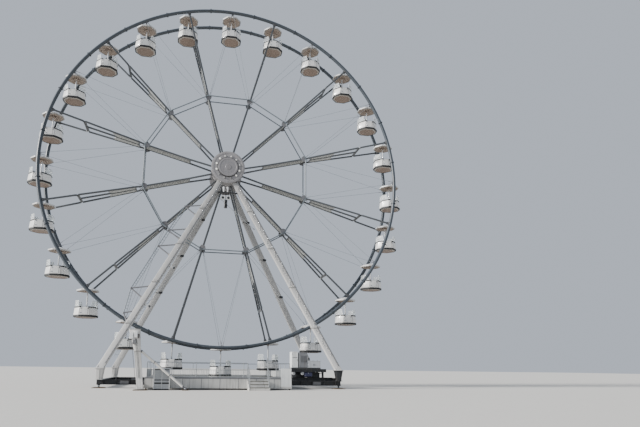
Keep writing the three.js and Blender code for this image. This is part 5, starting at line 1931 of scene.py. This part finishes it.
def bed_gear(shape):
    """What is stowed under the bed: drums, a blue box, two steel boxes and a back panel."""
    (x0, x1), (y0, y1), (z0, _) = BED_X, BED_Y, BED_Z
    rest = BEAM_TOP + GAP
    drum = [(0.11, 0), (0.13, 0.012), (0.13, 0.05), (0.115, 0.06), (0.115, 0.30)]
    for x in (5.60, 6.33):
        at = (x, y0 + 0.06, z0 - 0.11)
        shape.turned(drum, at, AXIS_Y, POLE_GREY, 24, 0.36)
        shape.turned([(0.05, 0), (0.05, 0.02), (0.02, 0.03)], at, -AXIS_Y, FLANGE_GREY, 12)
    left, right, low, high = 6.50, 7.14, 0.93, z0 - 0.01
    shape.box((left, y0 + 0.06, low), (right, y0 + 0.56, high), BOX_BLUE, 0.02)
    lid = (left + 0.03, y0 + 0.045, low + 0.03), (right - 0.03, y0 + 0.07, high - 0.03)
    shape.box(*lid, BOX_BLUE, 0.008)
    shape.block(((left + right) / 2, y0 + 0.04, high - 0.07), (0.03, 0.01, 0.03), BRIGHT_STEEL)
    for low_x, high_x, low_y, doors in ((x0 + 0.40, 6.46, y0 + 0.55, 2), (7.20, 7.86, y0 + 0.40, 1)):
        low, high = (low_x, low_y, rest + 0.26), (high_x, y1 - 0.40, z0 - 0.02)
        panel_box(shape, low, high, DARK_STEEL, doors)
    shape.box((x0 + 0.34, y1 - 0.12, rest + 0.25), (x1 - 0.34, y1 - 0.09, z0), DARK_STEEL)


def make_machine_bed():
    """A raised frame with a plate on it, on posts and two rails, with stowed gear below."""
    shape = assembled(bed_frame, bed_legs, bed_gear)
    show_part(shape, "machine_bed", "frame", "chassis_paint")


def panel_box(shape, low, high, look, doors):
    """A sheet-metal housing with a cap, a plinth, and doors with handles and hinges in its front."""
    (x0, y0, z0), (x1, y1, z1) = low, high
    shape.box((x0 + 0.012, y0 + 0.014, z0), (x1 - 0.012, y1 - 0.012, z1 - 0.03), look, 0.012)
    shape.box((x0, y0, z1 - 0.035), (x1, y1, z1), look, 0.012)
    shape.box((x0 + 0.02, y0 + 0.02, z0), (x1 - 0.02, y1 - 0.02, z0 + 0.06), DARK_STEEL)
    wide = (x1 - x0 - 0.04) / doors
    for k in range(doors):
        a = x0 + 0.028 + k * wide
        b = a + wide - 0.016
        shape.box((a, y0, z0 + 0.08), (b, y0 + 0.02, z1 - 0.05), look, 0.008)
        handle, hinge = (b - 0.05, a + 0.006) if k % 2 == 0 else (a + 0.05, b - 0.006)
        shape.block((handle, y0 - 0.005, (z0 + z1) / 2), (0.014, 0.009, 0.07), DARK_STEEL, 0.004)
        for z in (z0 + 0.20, z1 - 0.18):
            shape.pin((hinge, y0 - 0.004, z), AXIS_Z * 0.05, 0.009, BRIGHT_STEEL, 8)


def vent(shape, low, high, out, look):
    """A bank of louvre slats on a wall, proud of it along out."""
    height = high[2] - low[2]
    count = max(3, int(height / 0.045))
    lift = out * 0.014
    part = Shape()
    rings = []
    for end in (Vector((*low[:2], 0)), Vector((*high[:2], 0))):
        rings.append([end, end + lift, end + lift + AXIS_Z * 0.006, end + AXIS_Z * 0.034])
    part.loft(rings, look)
    shape.take_mesh(row(part, count, (0, 0, low[2]), (0, 0, height / count)))


def make_machine_cabinets():
    """The tall control cabinet, the machine housing and the low power box on their plinth."""
    shape = Shape()
    z, front = BED_Z[1] + GAP, -3.85
    shape.box((5.42, front, z), (7.85, -3.65, z + 0.09), DARK_STEEL)
    panel_box(shape, (5.42, front, z + 0.02), (5.98, -3.10, 2.90), BOX_WHITE, 1)
    panel_box(shape, (6.06, front, z + 0.02), (6.75, -2.30, 2.85), MACHINE_GREY, 1)
    panel_box(shape, (6.74, front, z + 0.02), (7.85, -1.85, 2.20), POWER_GREY, 2)
    vent(shape, (5.984, -3.62, 2.38), (5.984, -3.32, 2.66), AXIS_X, LOUVRE_GREY)
    vent(shape, (6.16, -3.858, 2.10), (6.66, -3.858, 2.62), -AXIS_Y, VENT_GREY)
    vent(shape, (6.754, -3.5, 2.35), (6.754, -2.7, 2.70), AXIS_X, VENT_GREY)
    vent(shape, (7.854, -3.6, 1.80), (7.854, -2.2, 2.08), AXIS_X, VENT_GREY)
    shape.block((5.70, -3.855, 2.44), (0.20, 0.007, 0.02), JOINT_DARK, 0.003)
    shape.rod((6.40, -2.75, 2.85), (6.40, -2.75, 2.93), 0.09, DARK_STEEL, 20)
    for x in (6.95, 7.65):
        for y in (-3.5, -2.2):
            eye = [Vector((x, y + a, 2.225 + b)) for a, b in circle(0.045, 16)]
            shape.sweep(circle(0.010, 6), eye, BRIGHT_STEEL, AXIS_X, True, True)
    flue = [(0.05, 0), (0.05, 0.22), (0.065, 0.24), (0.065, 0.28)]
    shape.turned(flue, (7.30, -2.2, 2.19), AXIS_Z, DARK_STEEL, 16)
    show_part(shape, "machine_cabinets", "panels", "panel_paint")


# Outrigger column at the left front corner

COLUMN = ((-5.98, 0.20, 0.06), (-6.30, 0.22, 2.65), (-6.58, 0.38, 4.15))
COLUMN_Y = -7.70
BRACE_ENDS = (Vector((-6.20, COLUMN_Y, 2.76)), Vector((-2.95, COLUMN_Y, 0.11)))


def column_ring(x, half, z, more=0.0):
    """The column's outline at a station, or a wider one."""
    outline = rounded(2 * (half + more), 0.36 + 2 * more, 0.025, 2)
    return [Vector((x + px, COLUMN_Y + py, z)) for px, py in outline]


def column_body(shape):
    """The column's box with plates at its ends, edge bars and cross plates."""
    shape.loft([column_ring(*station) for station in COLUMN], COLUMN_LIGHT)
    for (x, half, z), more, up in zip(COLUMN, (0.03, 0.02, 0.012), (1, -1, -1)):
        shape.loft([column_ring(x, half, z + up * dz, more) for dz in (0.004, 0.05)], LEG_FLANGE)
    (foot_x, foot_half, foot_z), (neck_x, neck_half, neck_z) = COLUMN[:2]
    plates = 7
    for sy in (-1, 1):
        y = COLUMN_Y + sy * 0.182
        for sx in (-1, 1):
            a = (foot_x + sx * (foot_half - 0.03), y, foot_z + 0.05)
            b = (neck_x + sx * (neck_half - 0.03), y, neck_z - 0.05)
            shape.bar(a, b, 0.05, 0.016, COLUMN_LIGHT, AXIS_X, 0.004)
        foot, neck = (Vector((x, COLUMN_Y + sy * 0.184, z)) for x, _, z in COLUMN[:2])
        for k in range(plates):
            shape.block(foot.lerp(neck, (k + 0.5) / plates), (0.17, 0.006, 0.03), COLUMN_LIGHT)


def column_boxes(shape):
    """The boxes on the column's head, each with a lid and a handle, and the hoses under them."""
    front = COLUMN_Y - 0.18
    for x0, x1, z0, z1, look in (
        (-6.86, -6.62, 3.45, 3.92, BOX_WHITE), (-6.56, -6.34, 3.55, 3.98, BOX_WHITE),
        (-6.66, -6.40, 3.10, 3.36, FLANGE_GREY), (-6.30, -6.22, 3.50, 3.80, DARK_STEEL),
    ):
        shape.box((x0, front - 0.11, z0), (x1, front + 0.01, z1), look, 0.012)
        lid = (x0 + 0.02, front - 0.122, z0 + 0.02), (x1 - 0.02, front - 0.10, z1 - 0.02)
        shape.box(*lid, look, 0.006)
        shape.pin((x1 - 0.04, front - 0.13, (z0 + z1) / 2), AXIS_Z * 0.04, 0.008, BRIGHT_STEEL, 6)
    for k, x in enumerate((-6.74, -6.50, -6.44)):
        path = []
        for t in (i / 12 for i in range(13)):
            sag = 0.05 * math.sin(math.pi * t) * (1 + k * 0.4)
            z = 3.47 - t * (2.6 + 0.05 * k)
            path.append(Vector((x + t * 0.40 + 0.02 * k, front - 0.04 - sag, z)))
        shape.sweep(circle(0.014, 8), path, JOINT_DARK, AXIS_X, True)


def column_tie(shape):
    """The box beam that ties the column's foot to the ground frame."""
    x, front, end = -6.15, COLUMN_Y + 0.17, -FRAME_Y - BEAM_SIDE / 2 - GAP
    for side in (-0.12, 0.12):
        shape.box((x + side - 0.01, front, 0.26), (x + side + 0.01, end, 0.50), DARK_STEEL)
    for z in (0.255, 0.495):
        shape.box((x - 0.13, front, z - 0.008), (x + 0.13, end, z + 0.008), DARK_STEEL)
    shape.box((x - 0.17, end - 0.025, 0.25), (x + 0.17, end, 0.55), FLANGE_GREY)


def column_brace(shape):
    """The diagonal tube with its joint flanges and forked, pinned ends."""
    top, foot = BRACE_ENDS
    out = (foot - top).normalized()
    shape.rod(top + out * 0.2, foot - out * 0.16, 0.088, BRACE_LIGHT, 20)
    for t in (0.33, 0.66):
        at = top.lerp(foot, t)
        for side in (-0.024, 0.004):
            shape.rod(at + out * side, at + out * (side + 0.02), 0.125, FLANGE_GREY, 20)
    for at, run in ((top, out), (foot, -out)):
        shape.rod(at + run * 0.16, at + run * 0.28, 0.10, FLANGE_GREY, 20)
        for side in (-0.06, 0.06):
            shape.block(at + Vector((0, side, 0.005)), (0.10, 0.012, 0.095), FLANGE_GREY)
        shape.pin(at, AXIS_Y * 0.10, 0.04, BRIGHT_STEEL, 16)
        shape.bar(at + run * 0.02, at + run * 0.2, 0.07, 0.09, FLANGE_GREY, AXIS_Y, 0.01)


def make_column():
    """The leaning column with a wide head, its boxes and hoses, the tie beam and the diagonal brace."""
    shape = assembled(column_body, column_boxes, column_tie, column_brace)
    ground_pad(shape, COLUMN[0][0], COLUMN_Y, 0.45)
    ground_pad(shape, BRACE_ENDS[1].x, COLUMN_Y, 0.225)
    show_part(shape, "outrigger_column", "plates", "leg_paint")


def camera_and_light():
    """The photo's viewpoint, a soft sun from the left and a pale sky of plain light."""
    eye = Vector((-3.26, -43.06, 1.67))
    yaw, pitch, roll = (math.radians(a) for a in (10.57, 10.91, 0.70))
    ahead = Vector((math.sin(yaw) * math.cos(pitch), math.cos(yaw) * math.cos(pitch), math.sin(pitch)))
    level = Vector((math.cos(yaw), -math.sin(yaw), 0))
    upright = level.cross(ahead)
    right = level * math.cos(roll) + upright * math.sin(roll)
    up = upright * math.cos(roll) - level * math.sin(roll)
    lens = bpy.data.cameras.new("camera")
    lens.sensor_width = 36.0
    lens.lens = 490 / 640 * lens.sensor_width
    lens.shift_x = (320 - 276) / 640
    lens.shift_y = (272.5 - 213.5) / 640
    lens.clip_end = 2000
    camera = linked("camera", lens)
    camera.matrix_world = Matrix.Translation(eye) @ Matrix((right, up, -ahead)).transposed().to_4x4()
    bpy.context.scene.camera = camera
    sun = bpy.data.lights.new("sun", "SUN")
    sun.energy = 8.0
    sun.angle = math.radians(12)
    sun.color = (1.0, 0.98, 0.95)
    lamp = linked("sun", sun)
    towards = Vector((-0.90, -0.16, 0.38))
    lamp.rotation_euler = towards.to_track_quat("Z", "Y").to_euler()
    world = bpy.data.worlds.new("sky")
    world.use_nodes = True
    shade = world.node_tree.nodes["Background"].inputs
    shade["Color"].default_value = (0.70, 0.77, 0.88, 1)
    shade["Strength"].default_value = 0.74
    bpy.context.scene.world = world


def make_floor():
    """The plain pale floor that the wheel stands on."""
    shape = Shape()
    reach = 300.0
    shape.box((-reach, -reach, -0.5), (reach, reach, -0.001), FLOOR_PALE, 0.1)
    floor = linked("floor", shape.build("floor"))


FLOOR_PALE = finish("floor_pale", "cfccc6", rough=0.8, dirt=0.12, variation=0.05, bump=0.05)

camera_and_light()
make_floor()
make_gondolas()
make_spokes()
make_hub()
make_axle()
for side, end in ((-1, "front"), (1, "back")):
    make_rim(side, f"rim_{end}")
    make_ring(side, f"ring_{end}")
    make_disc(side, f"disc_{end}")
    make_head(side, f"head_{end}")
    for hand_side, hand in ((-1, "left"), (1, "right")):
        make_leg(hand_side, side, f"leg_{end}_{hand}")
make_lamp_bar()
make_base_frame()
make_deck()
make_railings()
make_steps()
make_louvre_cabinet()
make_machine_bed()
make_machine_cabinets()
make_column()
